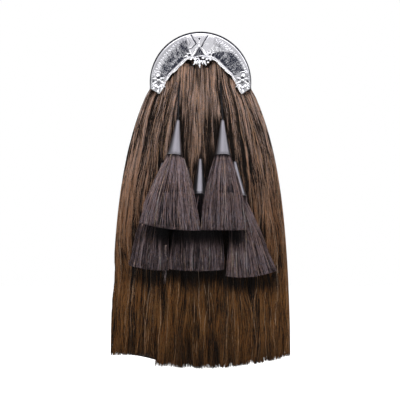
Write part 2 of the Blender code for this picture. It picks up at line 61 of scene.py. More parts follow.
# ---------------------------------------------------------------- sizes repeated from the CAD model

CANTLE_R = 0.070
ARCH_R, ARCH_CENTRE_Z = 0.050, -0.015
CANTLE_END_DEG, ARCH_END_DEG = -6.6, -1.1
ARCH_FLARE, ARCH_FLARE_DEG = 0.0060, 24.0
ARCH_PINCH, ARCH_PINCH_DEG, ARCH_PINCH_REACH_DEG = 0.0036, 46.0, 28.0
WALL_REAR_Y = -0.0053
CANTLE_PROFILE = (  # (share of the way from the outer to the inner arc, y)
    (0.00, -0.0195), (0.07, -0.0225), (0.30, -0.0246), (0.65, -0.0254), (1.00, -0.0248),
)
THISTLE_X = 0.0575

BACKING_FRONT, BACKING_REAR = -0.0050, -0.0025
BACKING_TOP_R, BACKING_HALF_WIDTH = 0.0694, 0.080
BACKING_ROUND_Z, BACKING_BOTTOM_Z = -0.100, -0.160
LEATHER = 0.0018

BAG_MOUTH_Z, BAG_HALF_WIDTH, BAG_DEEP, BAG_SQUARENESS = -0.044, 0.058, 0.106, 2.6
BAG_ROWS = (  # (share of the outline's radius, extra width, y)
    (1.00, 0.0050, -0.0013), (1.00, 0.0012, -0.0013), (1.00, 0.0000, 0.0004),
    (1.00, -0.0006, 0.0055), (0.985, -0.0010, 0.0080), (0.93, 0.0000, 0.0096),
    (0.70, 0.0000, 0.0106), (0.38, 0.0000, 0.0106), (0.00, 0.0000, 0.0098),
)
FLAP_ROWS = (  # (y, z, half width)
    (-0.0013, -0.0225, 0.050), (-0.0013, -0.0310, 0.050), (0.0005, -0.0360, 0.0505),
    (0.0045, -0.0395, 0.051), (0.0104, -0.0402, 0.0515), (0.0139, -0.0438, 0.052),
    (0.0147, -0.0510, 0.052), (0.0147, -0.0760, 0.050), (0.0147, -0.0910, 0.043),
    (0.0147, -0.0995, 0.031), (0.0147, -0.1030, 0.016),
)
LOOP_X, LOOP_HALF_WIDTH, LOOP_LEATHER = 0.045, 0.012, 0.0020
LOOP_ROWS = (  # (y, z)
    (-0.0012, 0.0210), (-0.0012, 0.0156), (0.0022, 0.0142), (0.0036, 0.0120),
    (0.0036, -0.0120), (0.0022, -0.0142), (-0.0012, -0.0156), (-0.0012, -0.0210),
)
STUD_R, STUD_HEIGHT, STUD_Y, STUD_Z = 0.0048, 0.0026, 0.0159, -0.088

HAIR_R_IN_CANTLE = 0.0672
SHOULDER_Z, SHOULDER_HALF_WIDTH = -0.0105, 0.0718
SPREAD_HALF_WIDTH, SPREAD_LENGTH = 0.127, 0.115
HAIR_EDGE_SHARE, HAIR_FLATNESS = 0.28, 0.6
HAIR_Z = (
    -0.4000, -0.3640, -0.3350, -0.3000, -0.2700, -0.2350, -0.1950, -0.1550, -0.1200, -0.0900,
    -0.0650, -0.0450, -0.0280, -0.0160, -0.0100, -0.0030, 0.0100, 0.0250, 0.0400, 0.0520,
)
HAIR_FRONT_Y = (
    -0.0315, -0.0322, -0.0320, -0.0300, -0.0277, -0.0275, -0.0275, -0.0274, -0.0272, -0.0269,
    -0.0264, -0.0256, -0.0243, -0.0232, -0.0222, -0.0212, -0.0201, -0.0190, -0.0182, -0.0172,
)
HAIR_BACK_Y = (0.0, -0.0005, -0.0010, -0.0016, -0.0024, -0.0032, -0.0042, *13 * (-0.0056,))
HEM_Z, HEM_RISE, HEM_HALF_WIDTH = -0.3925, 0.0185, 0.124
TRIM_Z, TRIM_INNER_X, TRIM_OUTER_X = -0.3745, -0.055, -0.070

CONE_TIP_R, CONE_BASE_R = 0.0025, 0.0114
CONE_WALL, CONE_TIP_WALL = 0.0012, 0.00075
THONG_D = 0.0026
THONG_POINT_EVERY = 2.5  # in thong diameters
THONG_IN_CONE, THONG_BEFORE_CONE = 0.006, 0.004
STEM_INSET, STEM_R = 0.010, 0.0060
NECK_DROP, NECK_R = 0.0004, 0.0093
COLLAR_DROP, COLLAR_R = 0.0012, 0.0118
UPPER_SKIRT = (  # (share of the way down, y, half depth)
    (0.060, -0.0408, 0.0114), (0.150, -0.0440, 0.0105), (0.300, -0.0506, 0.0095),
    (0.500, -0.0585, 0.0085), (0.750, -0.0610, 0.0080), (1.000, -0.0625, 0.0075),
)
LOWER_SKIRT = (
    (0.060, -0.0394, 0.0113), (0.150, -0.0393, 0.0110), (0.300, -0.0391, 0.0108),
    (0.500, -0.0389, 0.0105), (0.750, -0.0387, 0.0102), (1.000, -0.0385, 0.0100),
)


class Tassel(NamedTuple):
    """A tassel: its thong's route, its cone's tip and base, and its skirt's hem and edges."""

    name: str
    route: tuple
    tip: tuple
    base: tuple
    hem_z: float
    hem_tilt: float
    hem_sweep: float
    skirt: tuple
    edges: tuple  # (left x, right x) at each row of the skirt


TASSELS = (
    Tassel(
        "upper_left",
        route=((-0.0270, -0.0202, 0.0360), (-0.0285, -0.0209, 0.0200), (-0.0295, -0.0224, 0.0000),
               (-0.0302, -0.0252, -0.0250)),
        tip=(-0.0309, -0.0290, -0.0522), base=(-0.0355, -0.0394, -0.1012),
        hem_z=-0.2022, hem_tilt=-0.124, hem_sweep=1.9, skirt=UPPER_SKIRT,
        edges=((-0.0490, -0.0205), (-0.0538, -0.0175), (-0.0615, -0.0135), (-0.0705, -0.0090),
               (-0.0800, -0.0042), (-0.0840, 0.0008)),
    ),
    Tassel(
        "upper_right",
        route=((0.0235, -0.0202, 0.0380), (0.0252, -0.0209, 0.0200), (0.0272, -0.0224, 0.0000),
               (0.0290, -0.0252, -0.0250)),
        tip=(0.0302, -0.0290, -0.0522), base=(0.0306, -0.0394, -0.1012),
        hem_z=-0.2038, hem_tilt=0.0, hem_sweep=0.4, skirt=UPPER_SKIRT,
        edges=((0.0174, 0.0436), (0.0145, 0.0469), (0.0100, 0.0512), (0.0052, 0.0572),
               (0.0018, 0.0608), (0.0016, 0.0630)),
    ),
    Tassel(
        "lower_left",
        route=((-0.0515, -0.0196, 0.0110), (-0.0500, -0.0208, -0.0040),
               (-0.0504, -0.0230, -0.0210), (-0.0511, -0.0260, -0.0500),
               (-0.0514, -0.0276, -0.0800)),
        tip=(-0.0515, -0.0298, -0.1112), base=(-0.0570, -0.0394, -0.1578),
        hem_z=-0.2578, hem_tilt=-0.126, hem_sweep=3.0, skirt=LOWER_SKIRT,
        edges=((-0.0712, -0.0448), (-0.0757, -0.0444), (-0.0818, -0.0442), (-0.0887, -0.0440),
               (-0.0938, -0.0440), (-0.0980, -0.0442)),
    ),
    Tassel(
        "lower_middle",
        route=((0.0000, -0.0202, 0.0400), (0.0000, -0.0213, 0.0200), (0.0000, -0.0230, 0.0000),
               (-0.0002, -0.0263, -0.0300), (-0.0003, -0.0282, -0.0650)),
        tip=(-0.0003, -0.0298, -0.1057), base=(-0.0010, -0.0394, -0.1550),
        hem_z=-0.2600, hem_tilt=-0.010, hem_sweep=1.7, skirt=LOWER_SKIRT,
        edges=((-0.0172, 0.0142), (-0.0235, 0.0185), (-0.0315, 0.0245), (-0.0390, 0.0300),
               (-0.0420, 0.0320), (-0.0425, 0.0318)),
    ),
    Tassel(
        "lower_right",
        route=((0.0510, -0.0196, 0.0120), (0.0495, -0.0208, -0.0030), (0.0494, -0.0230, -0.0210),
               (0.0484, -0.0260, -0.0500), (0.0475, -0.0276, -0.0800)),
        tip=(0.0468, -0.0298, -0.1094), base=(0.0523, -0.0394, -0.1578),
        hem_z=-0.2680, hem_tilt=0.110, hem_sweep=4.0, skirt=LOWER_SKIRT,
        edges=((0.0396, 0.0640), (0.0392, 0.0685), (0.0388, 0.0765), (0.0384, 0.0858),
               (0.0370, 0.0950), (0.0350, 0.1050)),
    ),
)

# ---------------------------------------------------------------- what a user may change


def count(name, description, default):
    return IntProperty(name=name, description=description, default=default, min=50)


def length(name, description, default):
    return FloatProperty(name=name, description=description, default=default, unit="LENGTH")


def power(name, description, default):
    return FloatProperty(name=name, description=description, default=default, unit="POWER")


def colour(name, description, default):
    return FloatVectorProperty(
        name=name, description=description, default=default, size=3, subtype="COLOR", min=0, max=1
    )


class HairSettings(PropertyGroup):
    """The long brown hair."""

    front: count("Front strands", "Strands on the front of the fall", 2700)
    back: count("Back strands", "Strands on the back of the fall", 900)
    radius: length("Strand radius", "Radius of the thickest strands", 0.00058)
    low_dark: colour("Low dark", "The darkest strands near the hem", (0.006, 0.003, 0.0015))
    low_light: colour("Low light", "The lighter strands near the hem", (0.174, 0.085, 0.030))
    # The top colours are lighter and greyer than the low ones: a painted sheen where the fall turns
    # up under the cantle.
    top_dark: colour("Top dark", "The darkest strands near the cantle", (0.014, 0.010, 0.008))
    top_light: colour("Top light", "The lighter strands near the cantle", (0.470, 0.340, 0.275))
    pale: colour("Pale", "The few palest strands", (0.340, 0.240, 0.160))


class TasselSettings(PropertyGroup):
    """The dark hair of the five tassels."""

    strands: count("Strands", "Strands in each tassel", 820)
    radius: length("Strand radius", "Radius of the thickest strands", 0.00050)
    dark: colour("Dark", "The darkest strands", (0.007, 0.005, 0.006))
    light: colour("Light", "The lighter strands", (0.290, 0.228, 0.238))
    pale: colour("Pale", "The few palest strands", (0.420, 0.375, 0.330))


class LeatherSettings(PropertyGroup):
    """The cones, the thongs and the pouch behind."""

    dyed: colour("Dyed", "The dyed face of the leather", (0.016, 0.015, 0.016))
    scuffed: colour("Scuffed", "Where the dye has worn", (0.055, 0.050, 0.050))
    thread: colour("Thread", "The waxed sewing thread", (0.060, 0.055, 0.052))
    stitch_pitch: length("Stitch pitch", "From one stitch to the next", 0.0040)


class SilverSettings(PropertyGroup):
    """The cantle and its castings."""

    bright: colour("Bright", "Polished metal", (0.90, 0.90, 0.92))
    tarnish: colour("Tarnish", "The oxide left in the recesses", (0.022, 0.024, 0.038))
    engraving_depth: length("Engraving depth", "From the scrolls down to their ground", 0.00040)
    rope_radius: length("Rope radius", "Radius of the rope edge along the arch", 0.0016)


class StageSettings(PropertyGroup):
    """Floor, lights and camera."""

    camera_distance: length("Camera distance", "From the hair's front", 4.0)
    picture_width: length("Picture width", "What the picture takes in at the hair's front", 0.549)
    floor_z: length("Floor height", "The floor, under the hem", -0.46)
    floor: colour("Floor", "The pale floor", (0.86, 0.86, 0.86))
    key_power: power("Key power", "The soft light above the front", 58.0)
    fill_power: power("Fill power", "The soft lights at the sides", 4.0)


class SporranSettings(PropertyGroup):
    """Everything that the operators read."""

    hair: PointerProperty(type=HairSettings, name="Hair fall", description="The long hair")
    tassels: PointerProperty(type=TasselSettings, name="Tassels", description="The tassels' hair")
    leather: PointerProperty(type=LeatherSettings, name="Leather", description="Leather pieces")
    silver: PointerProperty(type=SilverSettings, name="Silver", description="Metal pieces")
    stage: PointerProperty(type=StageSettings, name="Stage", description="Floor, lights, camera")


def settings():
    return bpy.context.scene.sporran


# ---------------------------------------------------------------- objects and meshes


def add_object(name, data, looks, slot, *stands_for):
    """A finished piece: it rides on the frame's one body and stands for the given CAD nodes."""
    obj = bpy.data.objects.new(name, data)
    bpy.context.scene.collection.objects.link(obj)
    for look in looks:
        data.materials.append(look)
    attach(obj, "root")
    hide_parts(*stands_for)
    return obj


class Shape:
    """Points and faces gathered from closed forms, for one mesh."""

    def __init__(self):
        self.points, self.faces, self.slots = [], [], []

    def add(self, points, faces, slot=0):
        start = len(self.points)
        self.points.extend(tuple(float(c) for c in point) for point in points)
        self.faces.extend(tuple(start + i for i in face) for face in faces)
        self.slots.extend([slot] * len(faces))

    def mesh(self, name):
        mesh = bpy.data.meshes.new(name)
        mesh.from_pydata(self.points, [], self.faces)
        mesh.polygons.foreach_set("material_index", self.slots)
        bm = bmesh.new()
        bm.from_mesh(mesh)
        bmesh.ops.recalc_face_normals(bm, faces=bm.faces)
        bm.to_mesh(mesh)
        bm.free()
        mesh.shade_smooth()
        return mesh


def form_mesh(name, form):
    """A mesh of one closed form."""
    shape = Shape()
    shape.add(*form)
    return shape.mesh(name)


def rings_form(rings, closed_path=False):
    """Points and faces of a tube through rings of equal length, with flat ends."""
    total, sides = len(rings), len(rings[0])
    points = [point for ring in rings for point in ring]
    faces = []
    for k in range(total if closed_path else total - 1):
        upper, lower = k * sides, (k + 1) % total * sides
        for j in range(sides):
            after = (j + 1) % sides
            faces.append((upper + j, lower + j, lower + after, upper + after))
    if not closed_path:
        faces.append(tuple(range(sides)))
        faces.append(tuple(range((total - 1) * sides, total * sides)))
    return points, faces


def ball_form(centre, axes, turns=12, rows=8):
    """An ellipsoid: its centre and its three half axes as vectors."""
    centre, (a, b, c) = Vector(centre), (Vector(axis) for axis in axes)
    rings = []
    for r in range(rows + 1):
        lean = math.pi * (0.02 + 0.96 * r / rows)  # a pin-point flat at each pole
        rings.append([
            centre + (a * math.cos(turn) + b * math.sin(turn)) * math.sin(lean) + c * math.cos(lean)
            for turn in (2 * math.pi * t / turns for t in range(turns))
        ])
    return rings_form(rings)


def lathe_form(profile, steps, origin, axis):
    """A closed (radius, distance along the axis) profile turned about the axis from the origin."""
    along = Vector(axis).normalized()
    side = along.orthogonal().normalized()
    front = along.cross(side)
    rings = []
    for k in range(steps):
        angle = 2 * math.pi * k / steps
        out = side * math.cos(angle) + front * math.sin(angle)
        rings.append([Vector(origin) + out * r + along * d for r, d in profile])
    return rings_form(rings, closed_path=True)


def smooth_through(points, step):
    """Points about a step apart on a smooth curve through the given ones."""
    knots = [Vector(point) for point in points]
    padded = [2 * knots[0] - knots[1], *knots, 2 * knots[-1] - knots[-2]]
    fine = []
    for p0, p1, p2, p3 in zip(padded, padded[1:], padded[2:], padded[3:]):
        pieces = max(1, round((p2 - p1).length / step))
        for k in range(pieces):
            t = k / pieces
            fine.append(
                0.5 * (2 * p1 + (p2 - p0) * t + (2 * p0 - 5 * p1 + 4 * p2 - p3) * t**2
                       + (3 * p1 - p0 - 3 * p2 + p3) * t**3)
            )
    fine.append(knots[-1])
    return fine


def smooth_step(low, high, value):
    share = np.clip((value - low) / (high - low), 0.0, 1.0)
    return share * share * (3 - 2 * share)


def bell(value, width):
    return np.exp(-((value / width) ** 2))


# ---------------------------------------------------------------- shader nodes

COLOUR, VALUE, VECTOR = "NodeSocketColor", "NodeSocketFloat", "NodeSocketVector"
PAINT = {"Color": COLOUR, "Roughness": VALUE, "Height": VALUE}  # what a surface's group gives


def feed(value, socket):
    """Give a socket a plain value, or join an output to it."""
    if isinstance(value, bpy.types.NodeSocket):
        socket.id_data.links.new(value, socket)
    elif value is not None:
        socket.default_value = value


def join(target, **inputs):
    """Feed a node's inputs. Their names have _ for a space."""
    for label, value in inputs.items():
        feed(value, target.inputs[label.replace("_", " ")])
    return target


def node(tree, kind, options=None, **inputs):
    """A new node with its options, and its inputs set to numbers or joined to outputs."""
    made = tree.nodes.new(kind)
    for name, value in (options or {}).items():
        setattr(made, name, value)
    return join(made, **inputs)


def tree_of(*values):
    """The tree of the first of the values that is an output."""
    return next(value.id_data for value in values if isinstance(value, bpy.types.NodeSocket))


def maths(operation, first, second, clamp=False):
    made = node(tree_of(first, second), "ShaderNodeMath",
                {"operation": operation, "use_clamp": clamp})
    feed(first, made.inputs[0])
    feed(second, made.inputs[1])
    return made.outputs[0]


def times(first, second, clamp=False):
    return maths("MULTIPLY", first, second, clamp)


def ramp(value, low, high, to_low=0.0, to_high=1.0):
    """A smooth Map Range of an output."""
    made = node(value.id_data, "ShaderNodeMapRange", {"interpolation_type": "SMOOTHSTEP"},
                Value=value, From_Min=low, From_Max=high, To_Min=to_low, To_Max=to_high)
    return made.outputs["Result"]


def mix(factor, first, second, blend="MIX"):
    """A colour Mix node. Each colour is an output or a colour value."""
    made = node(tree_of(factor, first, second), "ShaderNodeMix",
                {"data_type": "RGBA", "blend_type": blend})
    for place, value in ((0, factor), (6, first), (7, second)):
        feed(value, made.inputs[place])
    return made.outputs[2]


def scaled(vector, factor):
    made = node(vector.id_data, "ShaderNodeVectorMath", {"operation": "SCALE"}, Scale=factor)
    feed(vector, made.inputs[0])
    return made.outputs[0]


def noise(vector, scale, detail=2.0, roughness=0.5):
    made = node(vector.id_data, "ShaderNodeTexNoise", Vector=vector, Scale=scale, Detail=detail,
                Roughness=roughness)
    return made.outputs["Fac"]


def object_point(tree):
    """The point in the object's own coordinates."""
    return node(tree, "ShaderNodeTexCoord").outputs["Object"]


def new_group(name, inputs, outputs):
    """A shader node group: its tree, the outputs of its input node, and its output node."""
    tree = bpy.data.node_groups.new(name, "ShaderNodeTree")
    for way, sockets in (("INPUT", inputs), ("OUTPUT", outputs)):
        for label, kind in sockets.items():
            tree.interface.new_socket(label, in_out=way, socket_type=kind)
    return tree, tree.nodes.new("NodeGroupInput").outputs, tree.nodes.new("NodeGroupOutput")


def place_group(tree, name, build, **inputs):
    """A node that uses the named group, which is built the first time."""
    group = bpy.data.node_groups.get(name) or build(name)
    return node(tree, "ShaderNodeGroup", {"node_tree": group}, **inputs)


def strand_noise(tone, down, tone_scale, down_scale, start):
    """Noise that differs from strand to strand and changes slowly down each."""
    place = node(tone.id_data, "ShaderNodeCombineXYZ", X=times(tone, tone_scale),
                 Y=times(down, down_scale), Z=start)
    return noise(place.outputs[0], 1.0)


def hair_group(name):
    """Colours of hair from a strand coordinate: X is the strand's tone, Y the way down."""
    colours = ("Low Dark", "Low Light", "Top Dark", "Top Light", "Pale", "Cool Cast", "Warm Cast")
    inputs = {"Strand": VECTOR, **dict.fromkeys(colours, COLOUR), "Streaks": VALUE}
    tree, given, made = new_group(name, inputs, {"Color": COLOUR})
    part = node(tree, "ShaderNodeSeparateXYZ", Vector=given["Strand"])
    tone, down = part.outputs["X"], part.outputs["Y"]
    light = ramp(tone, 0.06, 0.92)
    low = mix(light, given["Low Dark"], given["Low Light"])
    top = mix(light, given["Top Dark"], given["Top Light"])
    # Lighter, greyer colours towards the top: painted sheen.
    shade = mix(ramp(down, 0.80, 0.05), low, top)
    shade = mix(ramp(tone, 0.90, 0.99), shade, given["Pale"])
    warmth = ramp(strand_noise(tone, down, 61.0, 3.0, 5.0), 0.38, 0.62)
    shade = mix(1.0, shade, mix(warmth, given["Cool Cast"], given["Warm Cast"]),
                "MULTIPLY")
    # The darkest tones, which carry the painted shade of deep strands and of the tassels, are
    # darkened further.
    shade = scaled(shade, ramp(tone, 0.0, 0.08, 0.30, 1.0))  # the darkest lie deep
    # Streaks: light and dark stretches down each strand.
    lift = maths("SUBTRACT", strand_noise(tone, down, 97.0, 24.0, 0.0), 0.5)
    lift = times(lift, times(given["Streaks"], 4.0))
    streaked = scaled(shade, maths("MAXIMUM", maths("ADD", lift, 1.0), 0.25))
    join(made, Color=streaked)
    return tree


def leather_group(name):
    """Grain, pores and scuffs of leather, from object coordinates."""
    tree, given, made = new_group(
        name, {"Vector": VECTOR, "Dyed": COLOUR, "Scuffed": COLOUR, "Grain Scale": VALUE,
               "Wear": VALUE, "Base Roughness": VALUE}, PAINT)
    vector = given["Vector"]
    cells = node(tree, "ShaderNodeTexVoronoi", {"feature": "SMOOTH_F1"}, Smoothness=0.6,
                 Vector=vector, Scale=given["Grain Scale"])
    pores = noise(vector, 2600.0, 3.0)
    clouds = noise(vector, 42.0, 4.0, 0.6)
    pebbles = ramp(cells.outputs["Distance"], 0.05, 0.75)
    grain = maths("ADD", times(pebbles, 0.7), times(pores, 0.3))
    worn = times(ramp(clouds, 0.50, 0.72), given["Wear"])
    worn = times(worn, maths("SUBTRACT", 1.25, pebbles), clamp=True)
    dull = times(maths("SUBTRACT", clouds, 0.45), 0.3)
    join(made, Color=mix(worn, given["Dyed"], given["Scuffed"]), Height=grain,
         Roughness=maths("ADD", given["Base Roughness"], dull))
    return tree


def silver_group(name):
    """Polished metal with fine scratches, and oxide where the recess mask is high; on the cantle
    that mask also carries painted shade along the outer edge.
    """
    tree, given, made = new_group(
        name, {"Vector": VECTOR, "Recess": VALUE, "Bright": COLOUR, "Tarnish": COLOUR,
               "Polish": VALUE}, PAINT)
    vector = given["Vector"]
    mottle = noise(vector, 420.0, 3.0, 0.6)
    film = noise(vector, 60.0, 3.0, 0.5)
    scratches = noise(vector, 1500.0, 4.0, 0.7)
    spread = times(maths("SUBTRACT", mottle, 0.5), 0.9)
    held = times(given["Recess"], maths("ADD", spread, 1.0), clamp=True)
    dirt = maths("MAXIMUM", held, ramp(film, 0.50, 0.80, 0.0, 0.12))
    rough = maths("ADD", given["Polish"], times(dirt, 0.35))
    uneven = times(maths("SUBTRACT", film, 0.5), 0.12)
    join(made, Color=mix(dirt, given["Bright"], given["Tarnish"]),
         Roughness=maths("ADD", rough, uneven),
         Height=maths("ADD", scratches, times(mottle, 0.5)))
    return tree


def new_material(name):
    """A material, its tree and its Principled shader."""
    material = bpy.data.materials.new(name)
    material.use_nodes = True
    return material, material.node_tree, material.node_tree.nodes["Principled BSDF"]


def bumped(height, strength, distance):
    """The normal of a surface raised by a height."""
    return node(height.id_data, "ShaderNodeBump", Strength=strength, Distance=distance,
                Height=height).outputs["Normal"]


def paint(shader, given, strength, distance):
    """Give the shader a placed group's colour, roughness and height."""
    join(shader, Base_Color=given["Color"], Roughness=given["Roughness"],
         Normal=bumped(given["Height"], strength, distance))


def opaque(tone):
    return (*tone, 1.0)


def hair_material(name, low_dark, low_light, top_dark, top_light, pale, streaks):
    material, tree, shader = new_material(name)
    where = node(tree, "ShaderNodeUVMap", {"uv_map": "strand"})
    placed = place_group(
        tree, "Horsehair", hair_group, Strand=where.outputs["UV"], Streaks=streaks,
        Low_Dark=opaque(low_dark), Low_Light=opaque(low_light), Top_Dark=opaque(top_dark),
        Top_Light=opaque(top_light), Pale=opaque(pale), Cool_Cast=(0.80, 0.87, 1.0, 1.0),
        Warm_Cast=(1.0, 0.80, 0.64, 1.0),
    )
    join(shader, Base_Color=placed.outputs["Color"], Roughness=0.48, Specular_IOR_Level=0.1)
    return material


def leather_material(name, grain_scale, wear, roughness, raised, specular):
    tones = settings().leather
    material, tree, shader = new_material(name)
    placed = place_group(
        tree, "Leather Grain", leather_group, Vector=object_point(tree), Dyed=opaque(tones.dyed),
        Scuffed=opaque(tones.scuffed), Grain_Scale=grain_scale, Wear=wear,
        Base_Roughness=roughness,
    )
    paint(shader, placed.outputs, raised, 0.0004)
    join(shader, Specular_IOR_Level=specular)
    return material


def thread_material():
    """Waxed thread, twisted: fine slanting ridges."""
    material, tree, shader = new_material("waxed_thread")
    twist = node(tree, "ShaderNodeTexWave", {"bands_direction": "DIAGONAL"}, Scale=900.0,
                 Distortion=1.0, Vector=object_point(tree)).outputs["Fac"]
    thread = Vector(settings().leather.thread)
    join(shader, Base_Color=mix(twist, opaque(thread * 0.55), opaque(thread)), Roughness=0.5,
         Normal=bumped(twist, 0.4, 0.0002))
    return material


def silver_material(name, recess, polish):
    """Silver: recess(tree) gives the output that masks its recesses."""
    tones = settings().silver
    material, tree, shader = new_material(name)
    placed = place_group(
        tree, "Old Silver", silver_group, Vector=object_point(tree), Polish=polish,
        Recess=recess(tree), Bright=opaque(tones.bright), Tarnish=opaque(tones.tarnish),
    )
    paint(shader, placed.outputs, 0.12, 0.0003)
    join(shader, Metallic=1.0)
    return material


def recess_attribute(tree):
    """The mask that a mesh carries in its points."""
    return node(tree, "ShaderNodeAttribute", {"attribute_name": "recess"}).outputs["Fac"]


def recess_by_depth(clear_y, full_y):
    """A mask that grows from 0 at one y to 1 at another, nearer to what a casting stands on."""

    def build(tree):
        part = node(tree, "ShaderNodeSeparateXYZ", Vector=object_point(tree))
        return ramp(part.outputs["Y"], clear_y, full_y)

    return build


# ---------------------------------------------------------------- hair

STRAND_SIDE = 0.0026  # what one side of a strand takes up of the strand map's X
END_STEP = 0.008  # a strand's last step, as a share of its length
FORWARD = np.array((0.0, -1.0, 0.0))
HAIR_TOP_Z, HAIR_LENGTH = 0.05, 0.45


def unit(vectors):
    return vectors / np.maximum(np.linalg.norm(vectors, axis=-1, keepdims=True), 1e-12)


def strand_maps(mesh, places):
    """The strand coordinate, kept twice: for the material, and for a bake."""
    for name in ("strand", "OFBake"):
        mesh.uv_layers.new(name=name).data.foreach_set("uv", places.astype(np.float32).ravel())


def strands_mesh(name, paths, radii, tones, downs):
    """Closed three-sided strands. The arrays run over strands and their points."""
    total, steps, _ = paths.shape
    tangent = unit(np.gradient(paths, axis=1))
    across = unit(np.cross(tangent, FORWARD))
    out = np.cross(across, tangent)
    turn = 2 * np.pi * np.arange(3) / 3 + np.pi / 2
    ring = across[:, :, None] * np.cos(turn)[:, None] + out[:, :, None] * np.sin(turn)[:, None]
    points = paths[:, :, None] + radii[:, :, None, None] * ring

    index = np.arange(total * steps * 3).reshape(total, steps, 3)
    after = np.roll(index, -1, axis=2)
    quads = np.stack((index[:, :-1], index[:, 1:], after[:, 1:], after[:, :-1]), axis=-1)
    ends = np.concatenate((index[:, 0], index[:, -1, ::-1]))

    columns = np.clip(tones, 0.005, 0.985)[:, :, None] + STRAND_SIDE * np.arange(4)
    place = np.stack(np.broadcast_arrays(columns, downs[:, :, None]), axis=-1)
    left, right = place[:, :, :3], place[:, :, 1:]
    quad_places = np.stack((left[:, :-1], left[:, 1:], right[:, 1:], right[:, :-1]), axis=-2)
    peak = np.array(((0, 0), (0, 0.004), (0, 0)))
    end_places = np.concatenate((left[:, 0] + peak, left[:, -1, ::-1] - peak))

    mesh = bpy.data.meshes.new(name)
    mesh.vertices.add(points.size // 3)
    mesh.vertices.foreach_set("co", points.astype(np.float32).ravel())
    corners = np.concatenate((quads.ravel(), ends.ravel())).astype(np.int32)
    sizes = np.repeat((4, 3), (quads.size // 4, ends.size // 3))
    mesh.loops.add(len(corners))
    mesh.loops.foreach_set("vertex_index", corners)
    mesh.polygons.add(len(sizes))
    mesh.polygons.foreach_set("loop_start", np.cumsum(sizes) - sizes)
    mesh.update(calc_edges=True)
    strand_maps(mesh, np.concatenate((quad_places.reshape(-1, 2), end_places.reshape(-1, 2))))
    mesh.polygons.foreach_set("use_smooth", sizes == 4)
    return mesh


def core_mesh(name, rings, downs):
    """A lofted core under the strands, painted dark as the shade deep in the hair, with the strand
    map: X across it, Y down it.
    """
    mesh = form_mesh(name, rings_form(rings))
    corner = np.zeros(len(mesh.loops), np.int32)
    mesh.loops.foreach_get("vertex_index", corner)
    ring, spoke = np.divmod(corner, len(rings[0]))
    tone = 0.02 + 0.16 * np.abs(2 * spoke / len(rings[0]) - 1)
    strand_maps(mesh, np.stack((tone, np.asarray(downs)[ring]), axis=-1))
    return mesh


def random_field(rng, across, along):
    """A smooth random field: a function of a place across (-1 to 1) and down (0 to 1)."""
    grid = rng.normal(0, 1, (across + 2, along + 2))

    def sample(place, down):
        u = np.clip((place + 1) / 2, 0, 1) * across
        v = np.clip(down, 0, 1) * along
        i, j = u.astype(int), v.astype(int)
        s, t = smooth_step(0, 1, u - i), smooth_step(0, 1, v - j)
        upper = grid[i, j] * (1 - s) + grid[i + 1, j] * s
        lower = grid[i, j + 1] * (1 - s) + grid[i + 1, j + 1] * s
        return upper * (1 - t) + lower * t

    return sample


def sum_of_fields(rng, fields, place, down):
    """Random fields added up, each given by its size and its cells across and down."""
    return sum(size * random_field(rng, across, along)(place, down)
               for size, across, along in fields)


def short_ended(first, last, steps):
    """Even steps with a short last one: a strand's end cap bends the shading of that step."""
    return np.append(np.linspace(first, last - END_STEP * (last - first), steps - 1), last)


def kinks(rng, total, steps):
    """Small random bends down each strand, without its mean, none in its last step."""
    sharp = rng.normal(0, 1, (total, steps + 4))
    soft = (sharp[:, :-2] + 2 * sharp[:, 1:-1] + sharp[:, 2:]) / 2.45
    bends = 0.5 * sharp[:, 2:-2] + 0.85 * (soft[:, :-2] + soft[:, 1:-1] + soft[:, 2:]) / 2.4
    bends[:, -1] = bends[:, -2]
    return bends - bends.mean(axis=1, keepdims=True)


def within_limits(rng, tones):
    """The tones between a low and a high limit that differ a little from strand to strand."""
    low, high = rng.uniform(0.01, 0.04, len(tones)), rng.uniform(0.70, 0.90, len(tones))
    return np.clip(tones, low[:, None], high[:, None])


def height_share(z):
    return np.clip((HAIR_TOP_Z - z) / HAIR_LENGTH, 0.01, 0.99)


def half_width(z):
    """Half the fall's width at a height."""
    inside = np.sqrt(np.maximum(HAIR_R_IN_CANTLE**2 - z**2, 1e-8))
    growth = SPREAD_HALF_WIDTH - SHOULDER_HALF_WIDTH
    under = np.minimum(z, SHOULDER_Z) - SHOULDER_Z
    spread = SPREAD_HALF_WIDTH - growth * np.exp(under / SPREAD_LENGTH)
    return np.where(z > SHOULDER_Z, inside, spread)


def fall_y(share, z, side):
    """The fall's front (side -1) or back (side 1) at a share of its half width."""
    front, back = np.interp(z, HAIR_Z, HAIR_FRONT_Y), np.interp(z, HAIR_Z, HAIR_BACK_Y)
    edge = back + HAIR_EDGE_SHARE * (front - back)
    bulge = (1 - np.clip(np.abs(share), 0, 1) ** 2) ** (HAIR_FLATNESS / 2)
    return edge + (np.where(side < 0, front, back) - edge) * bulge


def hem_height(x):
    arc = HEM_Z + HEM_RISE * (x / HEM_HALF_WIDTH) ** 2
    share = np.clip((TRIM_INNER_X - x) / (TRIM_INNER_X - TRIM_OUTER_X), 0, 1)
    return arc + share * np.maximum(0, TRIM_Z - arc)


def thong_line(tassel):
    """The thong's points, as in the CAD model."""
    tip = Vector(tassel.tip)
    along = (Vector(tassel.base) - tip).normalized()
    route = [*tassel.route, tip - THONG_BEFORE_CONE * along, tip + THONG_IN_CONE * along]
    return smooth_through(route, THONG_POINT_EVERY * THONG_D)


PARTING_TOP_Z = -0.006  # the hair opens over the two upper thongs from here down
PARTING_HALF_GAP, PARTING_REACH = 0.0024, 0.015
PARTING_BANK = 0.0022  # how far the hair stands up beside a parting
BANK_AWAY, BANK_WIDTH = 0.0065, 0.0040
BANK_FADE = (-0.022, 0.004)  # the bank ends between these heights over a cone's tip
OPENING_LENGTH = 0.035
COVER_WIDTH, COVER_CLEARANCE = 0.0056, 0.0014
# The painted shade along a thong's line: how much darker, and how wide.
SEAM_TONE, SEAM_WIDTH = 0.20, 0.0013


